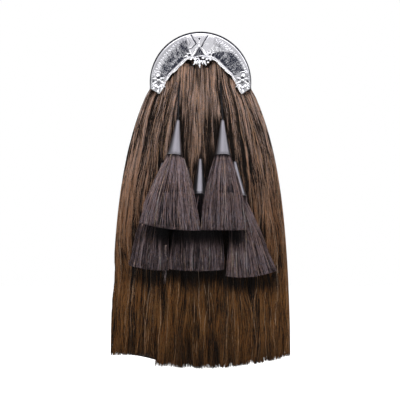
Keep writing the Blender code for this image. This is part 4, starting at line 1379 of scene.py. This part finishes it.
class SPORRAN_OT_tassels(Operator):
    """The tassels' dark hair: a core and several hundred strands each"""

    bl_idname = "sporran.tassels"
    bl_label = "Tassel hair"

    CORE_SPOKES, CORE_SIZE = 40, 0.84
    SKIRT_STEPS = 8
    BUNCHES = 70
    # Each tassel's tone; the lower left and middle are set darker, partly as painted shade under
    # the upper skirts.
    TONES = {"upper_left": 0.53, "upper_right": 0.48, "lower_left": 0.33, "lower_middle": 0.38,
             "lower_right": 0.53}
    # Painted shade: under a cone's rim, and on the lower skirts under the upper hems.
    UNDER_CONE_GLOOM, UNDER_HEM_GLOOM = 0.60, 0.85
    UPPER_HEM_Z, UPPER_HEM_X = -0.203, 0.061
    PALE = 0.09  # the share of strands
    STRAY_STRANDS = 6
    STRAY_PLACES = ((-0.0470, -0.0500, -0.2240), (-0.0492, -0.0385, -0.2720))

    @staticmethod
    def sections(tassel):
        """Arrays over a skirt's sections: centre, across, rear, half width, half depth, share."""
        tip, base = Vector(tassel.tip), Vector(tassel.base)
        out = (base - tip).normalized()
        across = Vector((-out.z, 0.0, out.x)).normalized()
        rear = across.cross(out).normalized()
        found = [(base + drop * out, across, rear, radius, radius, 0.0)
                 for drop, radius in ((-STEM_INSET, STEM_R), (NECK_DROP, NECK_R),
                                      (COLLAR_DROP, COLLAR_R))]
        centres = [base] + [
            Vector(((left + right) / 2, y, base.z + share * (tassel.hem_z - base.z)))
            for (share, y, _), (left, right) in zip(tassel.skirt, tassel.edges)
        ]
        sideways = Vector((1.0, 0.0, 0.0))
        for k, ((share, _, depth), (left, right)) in enumerate(zip(tassel.skirt, tassel.edges), 1):
            down = centres[min(k + 1, len(tassel.skirt))] - centres[k - 1]
            down.x = 0.0
            rear = sideways.cross(down).normalized()
            found.append((centres[k], sideways, rear, (right - left) / 2, depth, share))
        return [np.array(column) for column in zip(*found)]

    @staticmethod
    def refined(sections, steps):
        """The sections again, with more of them down the skirt: steps from its first row on."""
        first = 3  # the stem, the neck and the collar stay as they are
        shares = sections[-1][first:]
        wanted = short_ended(shares[0], 1, steps)
        places = np.interp(wanted, shares, first + np.arange(len(shares)))
        places = np.concatenate((np.arange(first), places))
        return [np.apply_along_axis(lambda c: np.interp(places, np.arange(len(c)), c), 0, column)
                for column in sections]

    def core(self, tassel, sections, look, rng):
        centre, across, rear, wide, deep, share = sections
        turn = 2 * np.pi * np.arange(self.CORE_SPOKES) / self.CORE_SPOKES
        rings = []
        for k in range(len(share)):
            size = self.CORE_SIZE * (1 + 0.03 * rng.normal(0, 1, len(turn)) * (k > 2))
            side, back = -wide[k] * size * np.cos(turn), -deep[k] * size * np.sin(turn)
            ring = centre[k] + side[:, None] * across[k] + back[:, None] * rear[k]
            ring[:, 2] += share[k] ** 3 * (tassel.hem_tilt * side + tassel.hem_sweep * side**2
                                           + 0.004)
            rings.append(ring)
        name = f"core_{tassel.name}"
        add_object(name, core_mesh(name, rings, 0.05 + 0.9 * share), [look], "dark_hair",
                   f"tassel_{tassel.name}")

    def strands(self, tassel, sections, hair, rng):
        """Paths, radii, tones and heights of a skirt's strands."""
        centre, across, rear, wide, deep, share = sections
        total, steps = hair.strands, len(share)
        turn = rng.uniform(0, 2 * np.pi, total)
        reach = rng.uniform(0.66, 0.985, total) ** 0.8
        back = (-np.sin(turn) * reach)[:, None] * np.ones(steps)
        stray = np.where(rng.random(total) < 0.16, 0.19, 0.05) * rng.normal(0, 1, total)
        sideways = (-np.cos(turn) * reach)[:, None] + stray[:, None] * share
        limit = np.sqrt(1 - back**2)
        side = np.clip(sideways, -limit, limit) * (wide - 0.0003)
        bends = kinks(rng, total, steps) * smooth_step(0.0, 0.3, share)
        side = np.clip(side + 0.0009 * bends, -wide, wide)
        paths = (centre + side[..., None] * across + (back * (deep - 0.0003))[..., None] * rear)
        paths[..., 2] += share**3 * (tassel.hem_tilt * side + tassel.hem_sweep * side**2)
        trim = np.where(rng.random(total) < 0.9, rng.uniform(-0.0032, -0.0002, total),
                        rng.uniform(-0.008, -0.002, total))
        paths[:, -1, 2] -= trim
        taper = np.where(share == 1, 0.85, 1.0)
        radii = hair.radius * rng.uniform(0.5, 1.0, total)[:, None] * taper
        bunches = rng.normal(0, 0.07, self.BUNCHES)
        bunch = bunches[(turn / (2 * np.pi) * self.BUNCHES).astype(int) % self.BUNCHES]
        # Strands that lie deeper inside the skirt are darker: painted shade.
        own = bunch + rng.normal(0, 0.21, total) - 0.6 * (0.985 - reach)
        tones = (self.TONES[tassel.name] + own)[:, None]
        slopes = np.gradient(bends, axis=1)
        # A painted highlight where a strand bends, painted light towards the hem, and painted shade
        # under the cone's rim.
        tones = (tones + 0.12 * np.tanh(slopes) + 0.12 * rng.normal(0, 1, (total, steps))
                 + 0.10 * share**3 - self.UNDER_CONE_GLOOM * (share == 0))
        # On the lower skirts: painted shadow under the upper hems, and painted light on their tops,
        # which lie in the upper skirts' shade.
        if tassel.name.startswith("lower"):
            x, z = paths[..., 0], paths[..., 2]
            band = smooth_step(self.UPPER_HEM_Z - 0.017, self.UPPER_HEM_Z - 0.009, z)
            band = band * smooth_step(self.UPPER_HEM_X + 0.004, self.UPPER_HEM_X - 0.004, np.abs(x))
            tones = tones - self.UNDER_HEM_GLOOM * band + 0.40 * smooth_step(0.45, 0.15, share)
        pale = (rng.random(total) < self.PALE)[:, None] & (tones > 0.2)
        tones = np.where(pale, rng.uniform(0.92, 0.98, total)[:, None], within_limits(rng, tones))
        return [paths, radii, tones, (0.05 + 0.9 * share) * np.ones((total, 1))]

    def stray_lock(self, hair, rng, steps):
        """A few pale strands that hang down between two of the lower skirts."""
        total, t = self.STRAY_STRANDS, np.linspace(0, 1, steps)
        first, last = (np.array(place) for place in self.STRAY_PLACES)
        paths = first + (last - first) * t[:, None] + np.zeros((total, 1, 1))
        paths[..., 1] += 0.004 * np.sin(np.pi * t)
        paths[..., 0] += (rng.normal(0, 0.0020, total)[:, None] * (0.3 + t)
                          + 0.0009 * kinks(rng, total, steps))
        paths[..., 2] += rng.uniform(-0.008, 0.008, total)[:, None] * t
        radii = hair.radius * 0.55 * np.ones((total, 1)) * np.where(t == 1, 0.5, 1.0)
        tones = rng.uniform(0.90, 0.99, total)[:, None] * np.ones(steps)
        return [paths, radii, tones, (0.2 + 0.7 * t) * np.ones((total, 1))]

    def execute(self, context):
        hair = settings().tassels
        look = hair_material("dark_horsehair", hair.dark, hair.light, hair.dark, hair.light,
                             hair.pale, 0.65)
        for number, tassel in enumerate(TASSELS):
            rng = np.random.default_rng(SEED + 20 + number)
            sections = self.sections(tassel)
            self.core(tassel, sections, look, rng)
            sections = self.refined(sections, self.SKIRT_STEPS)
            strands = self.strands(tassel, sections, hair, rng)
            if tassel.name == "lower_left":
                stray = self.stray_lock(hair, rng, len(sections[-1]))
                strands = [np.concatenate(pair) for pair in zip(strands, stray)]
            name = f"hair_{tassel.name}"
            add_object(name, strands_mesh(name, *strands), [look], "dark_hair",
                       f"tassel_{tassel.name}")
        return {"FINISHED"}


class SPORRAN_OT_cantle(Operator):
    """The engraved metal cantle with its rope edge"""

    bl_idname = "sporran.cantle"
    bl_label = "Cantle"

    STATIONS, FACE_ROWS = 560, 60
    SHEET = 0.0011
    LIP_Y = -0.0180  # where the wall's inside begins, behind the face's rim
    ROPE_TURNS, ROPE_STEPS, ROPE_SIDES, ROPE_PLIES = 11, 420, 15, 3
    ROPE_Y, ROPE_INWARD = -0.0246, 0.0008

    def plate(self, depth, rng):
        """The plate as one closed form: wall, engraved face, underside. Returns mesh and mask."""
        blotches = random_field(rng, 60, 7)
        u = np.linspace(0, 1, self.STATIONS + 1)
        outer = np.radians(CANTLE_END_DEG + u * (180 - 2 * CANTLE_END_DEG))
        edge = CANTLE_R * np.stack((np.cos(outer), np.sin(outer)), axis=-1)
        arch = arch_points(u)
        wall = np.linspace(WALL_REAR_Y, CANTLE_PROFILE[0][1], 4, endpoint=False)
        face = np.linspace(0, 1, self.FACE_ROWS)
        under = np.array((1.0, 0.8, 0.6, 0.4, 0.2, 0.05))
        shares = np.concatenate((np.zeros(len(wall)), face, under, (0.045, 0.045)))
        y_at = np.interp(shares, PROFILE_POINTS[:, 0], PROFILE_POINTS[:, 1])
        y_at[: len(wall)] = wall
        y_at[len(wall) + len(face) :] += self.SHEET
        y_at[-2:] = (self.LIP_Y, WALL_REAR_Y)
        rings = np.zeros((len(u), len(shares), 3))
        # The wall and the underside start dark: painted shade on the turned-down edge.
        masks = np.full((len(u), len(shares)), 0.9)
        for k, (share, y) in enumerate(zip(shares, y_at)):
            x, z = (edge + (arch - edge) * share).T
            if len(wall) <= k < len(wall) + len(face):
                height, masks[:, k] = cantle_relief(x, z, share, rng, blotches)
                y = y - height * depth
            rings[:, k] = np.stack((x, y + np.zeros(len(u)), z), axis=-1)
        return form_mesh("cantle", rings_form(list(rings))), masks.ravel()

    def rope(self, radius):
        """A twisted rope of three plies along the arch, and the mask of its valleys."""
        u = np.linspace(0, 1, self.ROPE_STEPS + 1)
        line = arch_points(u)
        along = np.gradient(line, axis=0)
        out = unit(np.stack((along[:, 1], -along[:, 0]), axis=-1))
        a = 2 * np.pi * np.arange(self.ROPE_SIDES) / self.ROPE_SIDES
        ply = np.cos(self.ROPE_PLIES * a - 2 * np.pi * self.ROPE_TURNS * u[:, None])
        r = radius * (0.80 + 0.36 * ply)
        r[(0, -1), :] *= 0.5
        across = r * np.cos(a) + self.ROPE_INWARD
        rings = np.stack((line[:, :1] + out[:, :1] * across, self.ROPE_Y - r * np.sin(a),
                          line[:, 1:] + out[:, 1:] * across), axis=-1)
        valleys = np.maximum(smooth_step(0.25, -0.60, ply), smooth_step(0.30, -0.30, np.sin(a)))
        return form_mesh("cantle_rope", rings_form(list(rings))), 0.50 * valleys.ravel()

    def execute(self, context):
        silver = settings().silver
        engraved = silver_material("cantle_silver", recess_attribute, polish=0.17)
        rng = np.random.default_rng(SEED + 1)
        for name, (mesh, mask) in (("cantle", self.plate(silver.engraving_depth, rng)),
                                   ("cantle_rope", self.rope(silver.rope_radius))):
            mark_recesses(mesh, mask)
            add_object(name, mesh, [engraved], "silver", "cantle_plate")
        return {"FINISHED"}


class SPORRAN_OT_mounts(Operator):
    """The castings on the cantle: the middle mount and the two thistles"""

    bl_idname = "sporran.mounts"
    bl_label = "Cast mounts"

    FOOT_Y = -0.0257  # what the thistles and the cluster stand on
    BERRIES = (  # of the cluster over the arch: (x, z, wide, tall)
        (-7.3, 32.2, 2.9, 2.5), (3.4, 33.8, 2.6, 2.2), (-7.0, 27.9, 3.1, 2.3),
        (4.8, 28.6, 3.0, 2.4), (10.3, 27.4, 2.1, 1.9), (13.6, 30.9, 1.9, 1.9),
        (-13.2, 31.8, 2.1, 2.0), (8.6, 31.8, 2.3, 2.0), (-3.4, 33.0, 1.8, 1.6),
        (9.4, 35.0, 1.5, 1.5), (-11.6, 35.2, 1.5, 1.3), (-1.2, 28.4, 2.6, 2.8),
    )
    CLUSTER_LEAVES = (  # (root, tip, half width)
        ((-2.0, 32.4), (-0.9, 18.6), 2.5), ((-5.2, 28.4), (-10.6, 23.4), 1.7),
        ((5.2, 28.6), (8.2, 22.6), 1.7), ((-9.0, 33.4), (-16.2, 33.8), 1.5),
        ((9.4, 32.8), (16.6, 33.0), 1.5), ((-3.4, 30.4), (-5.6, 23.8), 1.4),
        ((1.4, 30.6), (3.6, 23.4), 1.4),
    )
    SMALL_LEAVES = (  # round the two rosettes
        ((-13.6, 41.2), (-16.6, 46.0), 1.4), ((13.2, 42.2), (12.2, 48.4), 1.4),
        ((15.6, 40.6), (20.6, 41.6), 1.3), ((-18.4, 37.4), (-23.4, 34.4), 1.3),
    )
    ROSETTES = ((-15.1, 37.1), (12.0, 38.3))
    BANDS = (  # the two crossed bands
        ((-4.4, 48.4), (-7.4, 43.0), (-11.6, 35.4)), ((1.4, 48.4), (4.6, 43.0), (9.4, 35.4)),
    )
    TRIANGLE = ((-1.6, 48.4), (-1.6, 44.0), (-1.6, 39.0), (-1.6, 34.0))
    THISTLE_LEAVES = (
        ((-1.6, 5.0), (-9.6, 6.6), 1.7), ((2.4, 5.2), (9.8, 5.6), 1.7),
        ((-2.0, 2.0), (-10.2, -2.6), 1.8), ((3.0, 1.6), (10.4, -3.6), 1.8),
    )
    THISTLE_SPIKES = (
        ((5.6, -0.8), (10.2, -7.2)), ((-4.6, -1.6), (-9.6, -7.4)), ((0.6, -9.0), (0.8, -16.2)),
    )
    PETALS = (  # rounded, below the collar: (x, z, wide, tall, turn)
        (3.9, -4.2, 2.9, 2.7, 0), (-3.2, -4.4, 2.7, 2.8, 0), (0.4, -6.8, 2.2, 2.3, 0),
        (6.9, -8.0, 1.9, 2.3, 20), (0.9, -11.4, 2.0, 2.9, 0), (-4.7, -8.6, 1.7, 2.3, -24),
    )
    PITS = ((6.9, 1.4, 1.3), (-5.6, 3.6, 1.0), (1.9, -8.9, 0.8))  # dark: (x, z, size)
    BEADS = ((-8.4, 1.6, 1.2), (9.4, 0.8, 1.1), (-7.2, -4.6, 1.2), (7.4, -5.0, 1.1),
             (8.6, 8.0, 1.1))

    def middle(self, looks):
        casting = Casting(lambda x, z: plate_y(x, z) - 0.0003)
        for band in self.BANDS:
            casting.strip(band, (1.0, 1.5, 1.7), 1.2)
        # The dark triangle between the two bands, and the upright hatching on it.
        casting.strip(self.TRIANGLE, (0.4, 3.0, 6.0, 9.0), 0.45, slot=1)
        for k in range(7):
            x = -6.4 + 1.6 * k
            top = 46.6 - 1.45 * abs(x + 1.6)
            casting.strip(((x, top), (x, 34.4)), (0.10, 0.16), 0.56, sides=6)
        casting.lump(-2.4, 50.6, 1.9, 1.9, 1.6)
        casting.lump(-1.6, 60.0, 1.2, 1.8, 0.7, slot=1)
        casting.ring(-1.6, 60.0, 2.1, 0.45, 0.6)
        casting.lump(-2.0, 55.2, 1.2, 1.4, 0.8)
        for x, z in self.ROSETTES:
            casting.ring(x, z, 2.8, 0.8, 1.0)
            casting.lump(x, z, 0.9, 0.9, 0.5, slot=1, turns=8, rows=6)
            for k in range(6):
                a = math.radians(60 * k + 15)
                casting.lump(x + 4.0 * math.cos(a), z + 4.0 * math.sin(a), 0.9, 0.9, 0.9,
                             turns=8, rows=6)
        for root, tip, wide in self.SMALL_LEAVES:
            casting.leaf(root, tip, wide, 0.8, lobes=2)
        # The cluster of leaves and berries that hangs over the arch.
        casting.foot = lambda x, z: self.FOOT_Y
        for root, tip, wide in self.CLUSTER_LEAVES:
            casting.leaf(root, tip, wide, 3.0)
        for x, z, wide, tall in self.BERRIES:
            casting.lump(x, z, wide, tall, 3.4)
        casting.strip(((-2.9, 29.8), (-1.8, 28.0), (-0.9, 29.6)), (0.4, 0.5, 0.4), 3.6, slot=1)
        add_object("middle_mount", casting.mesh("middle_mount"), looks, "silver", "centre_mount")

    def thistle(self, name, side, looks):
        casting = Casting(lambda x, z: self.FOOT_Y, THISTLE_X, side)
        # The globe: a dome under an arched bract, with a dark crescent below it.
        casting.lump(1.2, 9.8, 3.5, 3.1, 2.8)
        arc = [(1.0 + 5.4 * math.sin(a), 9.6 + 5.2 * math.cos(a))
               for a in np.radians(np.linspace(-62, 62, 9))]
        casting.strip(arc, (0.3, 0.6, 0.8, 0.9, 0.9, 0.9, 0.8, 0.6, 0.3), 1.8)
        casting.strip(((-2.0, 6.6), (-0.2, 5.9), (1.8, 6.3)), (0.4, 0.7, 0.4), 3.3, slot=1)
        # The collar, the leaves and petals under it, dark pits and small beads.
        casting.lump(0.3, 3.4, 3.6, 2.0, 3.2)
        for root, tip, wide in self.THISTLE_LEAVES:
            casting.leaf(root, tip, wide, 2.8)
        for root, tip in self.THISTLE_SPIKES:
            casting.spike(root, tip, 1.0, 2.3)
        for x, z, wide, tall, turn in self.PETALS:
            casting.lump(x, z, wide, tall, 2.9, turn)
        for x, z, size in self.PITS:
            casting.lump(x, z, size, size, 3.0, slot=1, turns=10, rows=6)
        casting.strip(((-1.6, 0.6), (0.0, -1.4), (1.6, 0.4)), (0.5, 0.7, 0.5), 3.2, slot=1)
        for x, z, size in self.BEADS:
            casting.lump(x, z, size, size, 2.5, turns=10, rows=6)
        add_object(f"{name}_casting", casting.mesh(name), looks, "silver", name)

    def execute(self, context):
        looks = [silver_material("cast_silver", recess_attribute, polish=0.19),
                 silver_material("blackened_silver", recess_by_depth(-0.0400, -0.0300),
                                 polish=0.38)]
        self.middle(looks)
        self.thistle("thistle_left", -1, looks)
        self.thistle("thistle_right", 1, looks)
        return {"FINISHED"}


STITCH_R = 0.00042
OUT_BEHIND = Vector((0.0, 1.0, 0.0))


def sew(shape, line, pitch):
    """Stitches along a line of points, standing on a surface that faces the rear."""
    spots = smooth_through(line, pitch)
    for before, after in zip(spots, spots[1:]):
        along = (after - before).normalized()
        axes = (along * pitch * 0.36, along.cross(OUT_BEHIND) * STITCH_R, OUT_BEHIND * STITCH_R)
        shape.add(*ball_form((before + after) / 2, axes, 6, 5), 1)


def leather_sheet(shape, grid, thickness):
    """A closed sheet of leather round a grid of middle points."""
    grid = np.asarray(grid)
    rows, columns, _ = grid.shape
    normal = unit(np.cross(np.gradient(grid, axis=1), np.gradient(grid, axis=0)))
    upper, lower = grid + normal * thickness / 2, grid - normal * thickness / 2
    under = rows * columns
    faces = []
    for r in range(rows - 1):
        for c in range(columns - 1):
            a, b = r * columns + c, r * columns + c + 1
            faces.append((a, b, b + columns, a + columns))
            faces.append((under + a, under + a + columns, under + b + columns, under + b))
    index = np.arange(under).reshape(rows, columns)
    rim = [*index[0], *index[1:, -1], *index[-1, -2::-1], *index[-2:0:-1, 0]]
    for a, b in zip(rim, rim[1:] + rim[:1]):
        faces.append((a, under + a, under + b, b))
    shape.add(np.concatenate((upper.reshape(-1, 3), lower.reshape(-1, 3))), faces)


class SPORRAN_OT_pouch(Operator):
    """The leather pouch behind the hair: backing, pocket, flap, stud and strap loops"""

    bl_idname = "sporran.pouch"
    bl_label = "Leather pouch"

    BACKING_COLUMNS, BAG_COLUMNS, FLAP_COLUMNS, LOOP_COLUMNS = 73, 73, 41, 17
    SEAM_INSET = 0.0036  # from an edge of the backing or the flap
    BAG_SEAM_OUT = 0.0032  # from the bag's wall, on its flange
    FLAP_TOP_SEAM_X, FLAP_TOP_SEAM_Z = 0.045, -0.0260
    LOOP_SEAMS = (  # (row, half width, reach): across a loop's sewn ends, and along its edges
        (0, 0.0095, 0.0185), (3, 0.0096, 0.0105),
    )
    STUD_SPOKES = 40
    STUD_PROFILE = (  # (share of the radius, share of the height)
        (0.02, 1.0), (0.40, 0.96), (0.52, 0.82), (0.60, 0.86), (0.80, 0.70), (0.95, 0.45),
        (1.0, 0.25), (0.95, 0.0), (0.02, 0.0),
    )

    def backing(self, looks, pitch):
        angle = np.pi * np.linspace(0, 1, self.BACKING_COLUMNS)
        top = np.stack((BACKING_TOP_R * np.cos(angle), BACKING_TOP_R * np.sin(angle)), axis=-1)
        deep = BACKING_ROUND_Z - BACKING_BOTTOM_Z
        bottom = np.stack((-BACKING_HALF_WIDTH * np.cos(angle),
                           BACKING_ROUND_Z - deep * np.sin(angle)), axis=-1)
        middle = np.array((0.0, -0.045))
        away = np.concatenate((top, bottom)) - middle

        def outline(inset, y):
            flat = middle + away * (1 - inset / np.linalg.norm(away, axis=1, keepdims=True))
            return [(x, y, z) for x, z in flat]

        shape = Shape()
        shape.add(*rings_form([
            outline(inset, y) for inset, y in (
                (0.0030, BACKING_FRONT), (0.0006, BACKING_FRONT), (0.0, BACKING_FRONT + 0.0007),
                (0.0, BACKING_REAR - 0.0007), (0.0006, BACKING_REAR), (0.0030, BACKING_REAR))
        ]))
        seam = outline(self.SEAM_INSET, BACKING_REAR + 0.0001)
        sew(shape, [*seam, seam[0]], pitch)
        add_object("backing_panel", shape.mesh("backing_panel"), looks, "black_leather",
                   "leather_backing")

    def bag(self, looks, pitch):
        spokes = []
        for angle in np.pi * np.linspace(0, 1, self.BAG_COLUMNS):
            ax, az = -math.cos(angle), -math.sin(angle)
            n = BAG_SQUARENESS
            reach = (abs(ax / BAG_HALF_WIDTH) ** n + abs(az / BAG_DEEP) ** n) ** (-1 / n)
            spokes.append((ax, az, reach))
        rows = smooth_through([(share, extra * 10, y * 10) for share, extra, y in BAG_ROWS], 0.012)
        grid = []
        for share, extra, y in rows:
            line = []
            for ax, az, reach in spokes:
                size = max(share, 0.0) * reach + extra / 10
                sag = 0.0005 * math.sin(5 * ax + 3 * az) * math.sqrt(max(1 - share, 0.0))
                line.append((ax * size, y / 10 + sag, BAG_MOUTH_Z + az * size))
            grid.append(line)
        shape = Shape()
        leather_sheet(shape, grid, LEATHER)
        sew(shape, [(ax * (reach + self.BAG_SEAM_OUT), BAG_ROWS[0][2] + LEATHER / 2,
                     BAG_MOUTH_Z + az * (reach + self.BAG_SEAM_OUT)) for ax, az, reach in spokes],
            pitch)
        add_object("pocket", shape.mesh("pocket"), looks, "black_leather", "pouch_bag")

    def flap(self, looks, pitch):
        across = np.linspace(-1, 1, self.FLAP_COLUMNS)
        rows = smooth_through(FLAP_ROWS, 0.0022)
        shape = Shape()
        leather_sheet(shape, [[(wide * c, y - 0.0003 * abs(c) ** 6 * (y > 0.012), z)
                               for c in across] for y, z, wide in rows], LEATHER)
        face = FLAP_ROWS[-1][0] + LEATHER / 2
        low_z = FLAP_ROWS[-1][1] + self.SEAM_INSET
        edge = [(wide - self.SEAM_INSET, face, z) for _, z, wide in rows if low_z < z < -0.047][::3]
        foot = [(-0.013, face, low_z), (0.0, face, low_z), (0.013, face, low_z)]
        sew(shape, [(-x, y, z) for x, y, z in edge] + foot + edge[::-1], pitch)
        top = FLAP_ROWS[0][0] + LEATHER / 2
        sew(shape, [(self.FLAP_TOP_SEAM_X * c, top, self.FLAP_TOP_SEAM_Z) for c in (-1, 0, 1)],
            pitch)
        add_object("flap", shape.mesh("flap"), looks, "black_leather", "pouch_flap")

    def loop(self, name, middle, looks, pitch):
        rows = smooth_through([(0.0, y, z) for y, z in LOOP_ROWS], 0.0010)
        across = np.linspace(-1, 1, self.LOOP_COLUMNS)
        shape = Shape()
        leather_sheet(shape, [[(middle + LOOP_HALF_WIDTH * c, point.y, point.z) for c in across]
                              for point in rows], LOOP_LEATHER)
        for row, half, reach in self.LOOP_SEAMS:
            face = LOOP_ROWS[row][0] + LOOP_LEATHER / 2
            for side in (-1, 1):
                if row == 0:
                    line = [(middle + half * c, face, side * reach) for c in (-1, 0, 1)]
                else:
                    line = [(middle + side * half, face, reach * c) for c in (1, 0, -1)]
                sew(shape, line, pitch * 0.8)
        add_object(f"{name}_leather", shape.mesh(name), looks, "black_leather", name)

    def stud(self):
        profile = [(STUD_R * out, STUD_HEIGHT * up) for out, up in self.STUD_PROFILE]
        form = lathe_form(profile, self.STUD_SPOKES, (0, STUD_Y, STUD_Z), OUT_BEHIND)
        recess = recess_by_depth(STUD_Y + 0.0014, STUD_Y + 0.0002)
        nickel = silver_material("stud_nickel", recess, polish=0.24)
        add_object("stud_cap", form_mesh("stud_cap", form), [nickel], "nickel", "flap_stud")

    def execute(self, context):
        looks = [leather_material("pouch_leather", grain_scale=700.0, wear=0.5, roughness=0.42,
                                  raised=0.35, specular=0.55), thread_material()]
        pitch = settings().leather.stitch_pitch
        self.backing(looks, pitch)
        self.bag(looks, pitch)
        self.flap(looks, pitch)
        self.loop("strap_loop_left", -LOOP_X, looks, pitch)
        self.loop("strap_loop_right", LOOP_X, looks, pitch)
        self.stud()
        return {"FINISHED"}


# ---------------------------------------------------------------- stage


class SPORRAN_OT_stage(Operator):
    """The pale floor, the soft lights and the camera"""

    bl_idname = "sporran.stage"
    bl_label = "Stage"

    AIM = (-0.0007, -0.035, -0.162)
    FLOOR_HALF = 6.0
    SENSOR_WIDTH = 36.0
    LIGHTS = (  # (name, place, size, property with its power, times that power)
        ("key", (0.0, -1.30, 1.25), (2.6, 0.9), "key_power", 1),
        ("fill_left", (-1.7, -1.4, 0.25), (0.8, 1.2), "fill_power", 1),
        ("fill_right", (1.7, -1.4, 0.35), (0.8, 1.2), "fill_power", 1),
        ("rear", (0.3, 1.6, 0.9), (1.2, 0.9), "fill_power", 5),
    )

    def add(self, name, data):
        obj = bpy.data.objects.new(name, data)
        bpy.context.scene.collection.objects.link(obj)
        return obj

    def soft_light(self, name, place, size, power):
        """A soft light that nothing mirrors: the studio's own bright areas do that."""
        light = bpy.data.lights.new(name, "AREA")
        light.shape = "RECTANGLE"
        light.size, light.size_y = size
        light.energy = power
        obj = self.add(name, light)
        obj.location = place
        aim = Vector(self.AIM) - Vector(place)
        obj.rotation_euler = aim.to_track_quat("-Z", "Y").to_euler()
        obj.visible_glossy = False

    def floor(self, stage):
        bm = bmesh.new()
        bmesh.ops.create_grid(bm, x_segments=8, y_segments=8, size=self.FLOOR_HALF)
        mesh = bpy.data.meshes.new("floor")
        bm.to_mesh(mesh)
        bm.free()
        material, tree, shader = new_material("pale_floor")
        cloud = ramp(noise(object_point(tree), 3.0), 0.3, 0.7)
        pale = Vector(stage.floor)
        join(shader, Base_Color=mix(cloud, opaque(pale * 0.98), opaque(pale)),
             Roughness=0.9, Specular_IOR_Level=0.1, Emission_Color=opaque(pale),
             Emission_Strength=1.1)
        mesh.materials.append(material)
        obj = self.add("floor", mesh)
        obj.location.z = stage.floor_z
        obj.visible_diffuse = False

    def world(self):
        """White behind, dim soft light all round, and a bright studio for the metal to mirror."""
        world = bpy.data.worlds.new("studio")
        bpy.context.scene.world = world
        world.use_nodes = True
        tree = world.node_tree
        tree.nodes.clear()
        ray = node(tree, "ShaderNodeLightPath")
        where = node(tree, "ShaderNodeTexCoord")
        part = node(tree, "ShaderNodeSeparateXYZ", Vector=where.outputs["Generated"])
        right, rear, up = (part.outputs[axis] for axis in "XYZ")
        # Walls that fade towards the floor and the rear, a bright panel above, one at the right.
        walls = times(ramp(up, -0.45, -0.02, 0.10, 1.0), ramp(rear, 0.35, -0.10, 0.08, 0.72))
        above = times(ramp(up, 0.50, 0.68), ramp(up, 0.98, 0.84))
        above = times(above, ramp(rear, -0.30, -0.60, 0.0, 2.5))
        beside = times(ramp(right, 0.50, 0.70), ramp(up, 0.30, 0.42, 0.0, 1.7))
        beside = times(beside, ramp(rear, 0.40, 0.15))
        studio = maths("ADD", walls, maths("MAXIMUM", above, beside))
        white = (1.0, 1.0, 1.0, 1.0)
        mirrored = node(tree, "ShaderNodeBackground", Color=(0.97, 0.96, 1.0, 1.0),
                        Strength=studio)
        ambient = node(tree, "ShaderNodeBackground", Color=white, Strength=0.16)
        backdrop = node(tree, "ShaderNodeBackground", Color=white, Strength=1.0)
        shader = ambient.outputs[0]
        for kind, background in (("Is Glossy Ray", mirrored), ("Is Camera Ray", backdrop)):
            chosen = node(tree, "ShaderNodeMixShader", Fac=ray.outputs[kind])
            feed(shader, chosen.inputs[1])
            feed(background.outputs[0], chosen.inputs[2])
            shader = chosen.outputs[0]
        node(tree, "ShaderNodeOutputWorld", Surface=shader)

    def camera(self, stage):
        camera = bpy.data.cameras.new("camera")
        camera.sensor_width = self.SENSOR_WIDTH
        camera.lens = camera.sensor_width * stage.camera_distance / stage.picture_width
        camera.clip_start, camera.clip_end = 0.1, 50.0
        obj = self.add("camera", camera)
        obj.location = (self.AIM[0], self.AIM[1] - stage.camera_distance, self.AIM[2])
        obj.rotation_euler = (math.radians(90), 0, 0)
        bpy.context.scene.camera = obj

    def execute(self, context):
        stage = settings().stage
        self.floor(stage)
        self.world()
        for name, place, size, power, factor in self.LIGHTS:
            self.soft_light(name, place, size, getattr(stage, power) * factor)
        self.camera(stage)
        bpy.context.scene.view_settings.view_transform = "Standard"
        bpy.context.scene.view_settings.look = "None"
        return {"FINISHED"}


class SPORRAN_PT_panel(Panel):
    """The sporran's pieces, in the order that they are made"""

    bl_idname = "SPORRAN_PT_panel"
    bl_label = "Dress Sporran"
    bl_space_type = "VIEW_3D"
    bl_region_type = "UI"
    bl_category = "Sporran"

    def draw(self, context):
        for operator in OPERATORS:
            self.layout.operator(operator.bl_idname)
        for group in ("hair", "tassels", "leather", "silver", "stage"):
            values = getattr(context.scene.sporran, group)
            box = self.layout.box()
            for name in values.bl_rna.properties.keys():
                if name not in ("rna_type", "name"):
                    box.prop(values, name)


OPERATORS = (
    SPORRAN_OT_stage,
    SPORRAN_OT_thongs,
    SPORRAN_OT_cones,
    SPORRAN_OT_hair_fall,
    SPORRAN_OT_tassels,
    SPORRAN_OT_cantle,
    SPORRAN_OT_mounts,
    SPORRAN_OT_pouch,
)
GROUPS = (HairSettings, TasselSettings, LeatherSettings, SilverSettings, StageSettings,
          SporranSettings)


def register():
    for kind in (*GROUPS, *OPERATORS, SPORRAN_PT_panel):
        bpy.utils.register_class(kind)
    bpy.types.Scene.sporran = PointerProperty(type=SporranSettings)


def unregister():
    del bpy.types.Scene.sporran
    for kind in (SPORRAN_PT_panel, *reversed(OPERATORS), *reversed(GROUPS)):
        bpy.utils.unregister_class(kind)


def main():
    register()
    bpy.ops.sporran.stage()
    bpy.ops.sporran.thongs()
    bpy.ops.sporran.cones()
    bpy.ops.sporran.hair_fall()
    bpy.ops.sporran.tassels()
    bpy.ops.sporran.cantle()
    bpy.ops.sporran.mounts()
    bpy.ops.sporran.pouch()


if __name__ == "__main__":
    main()
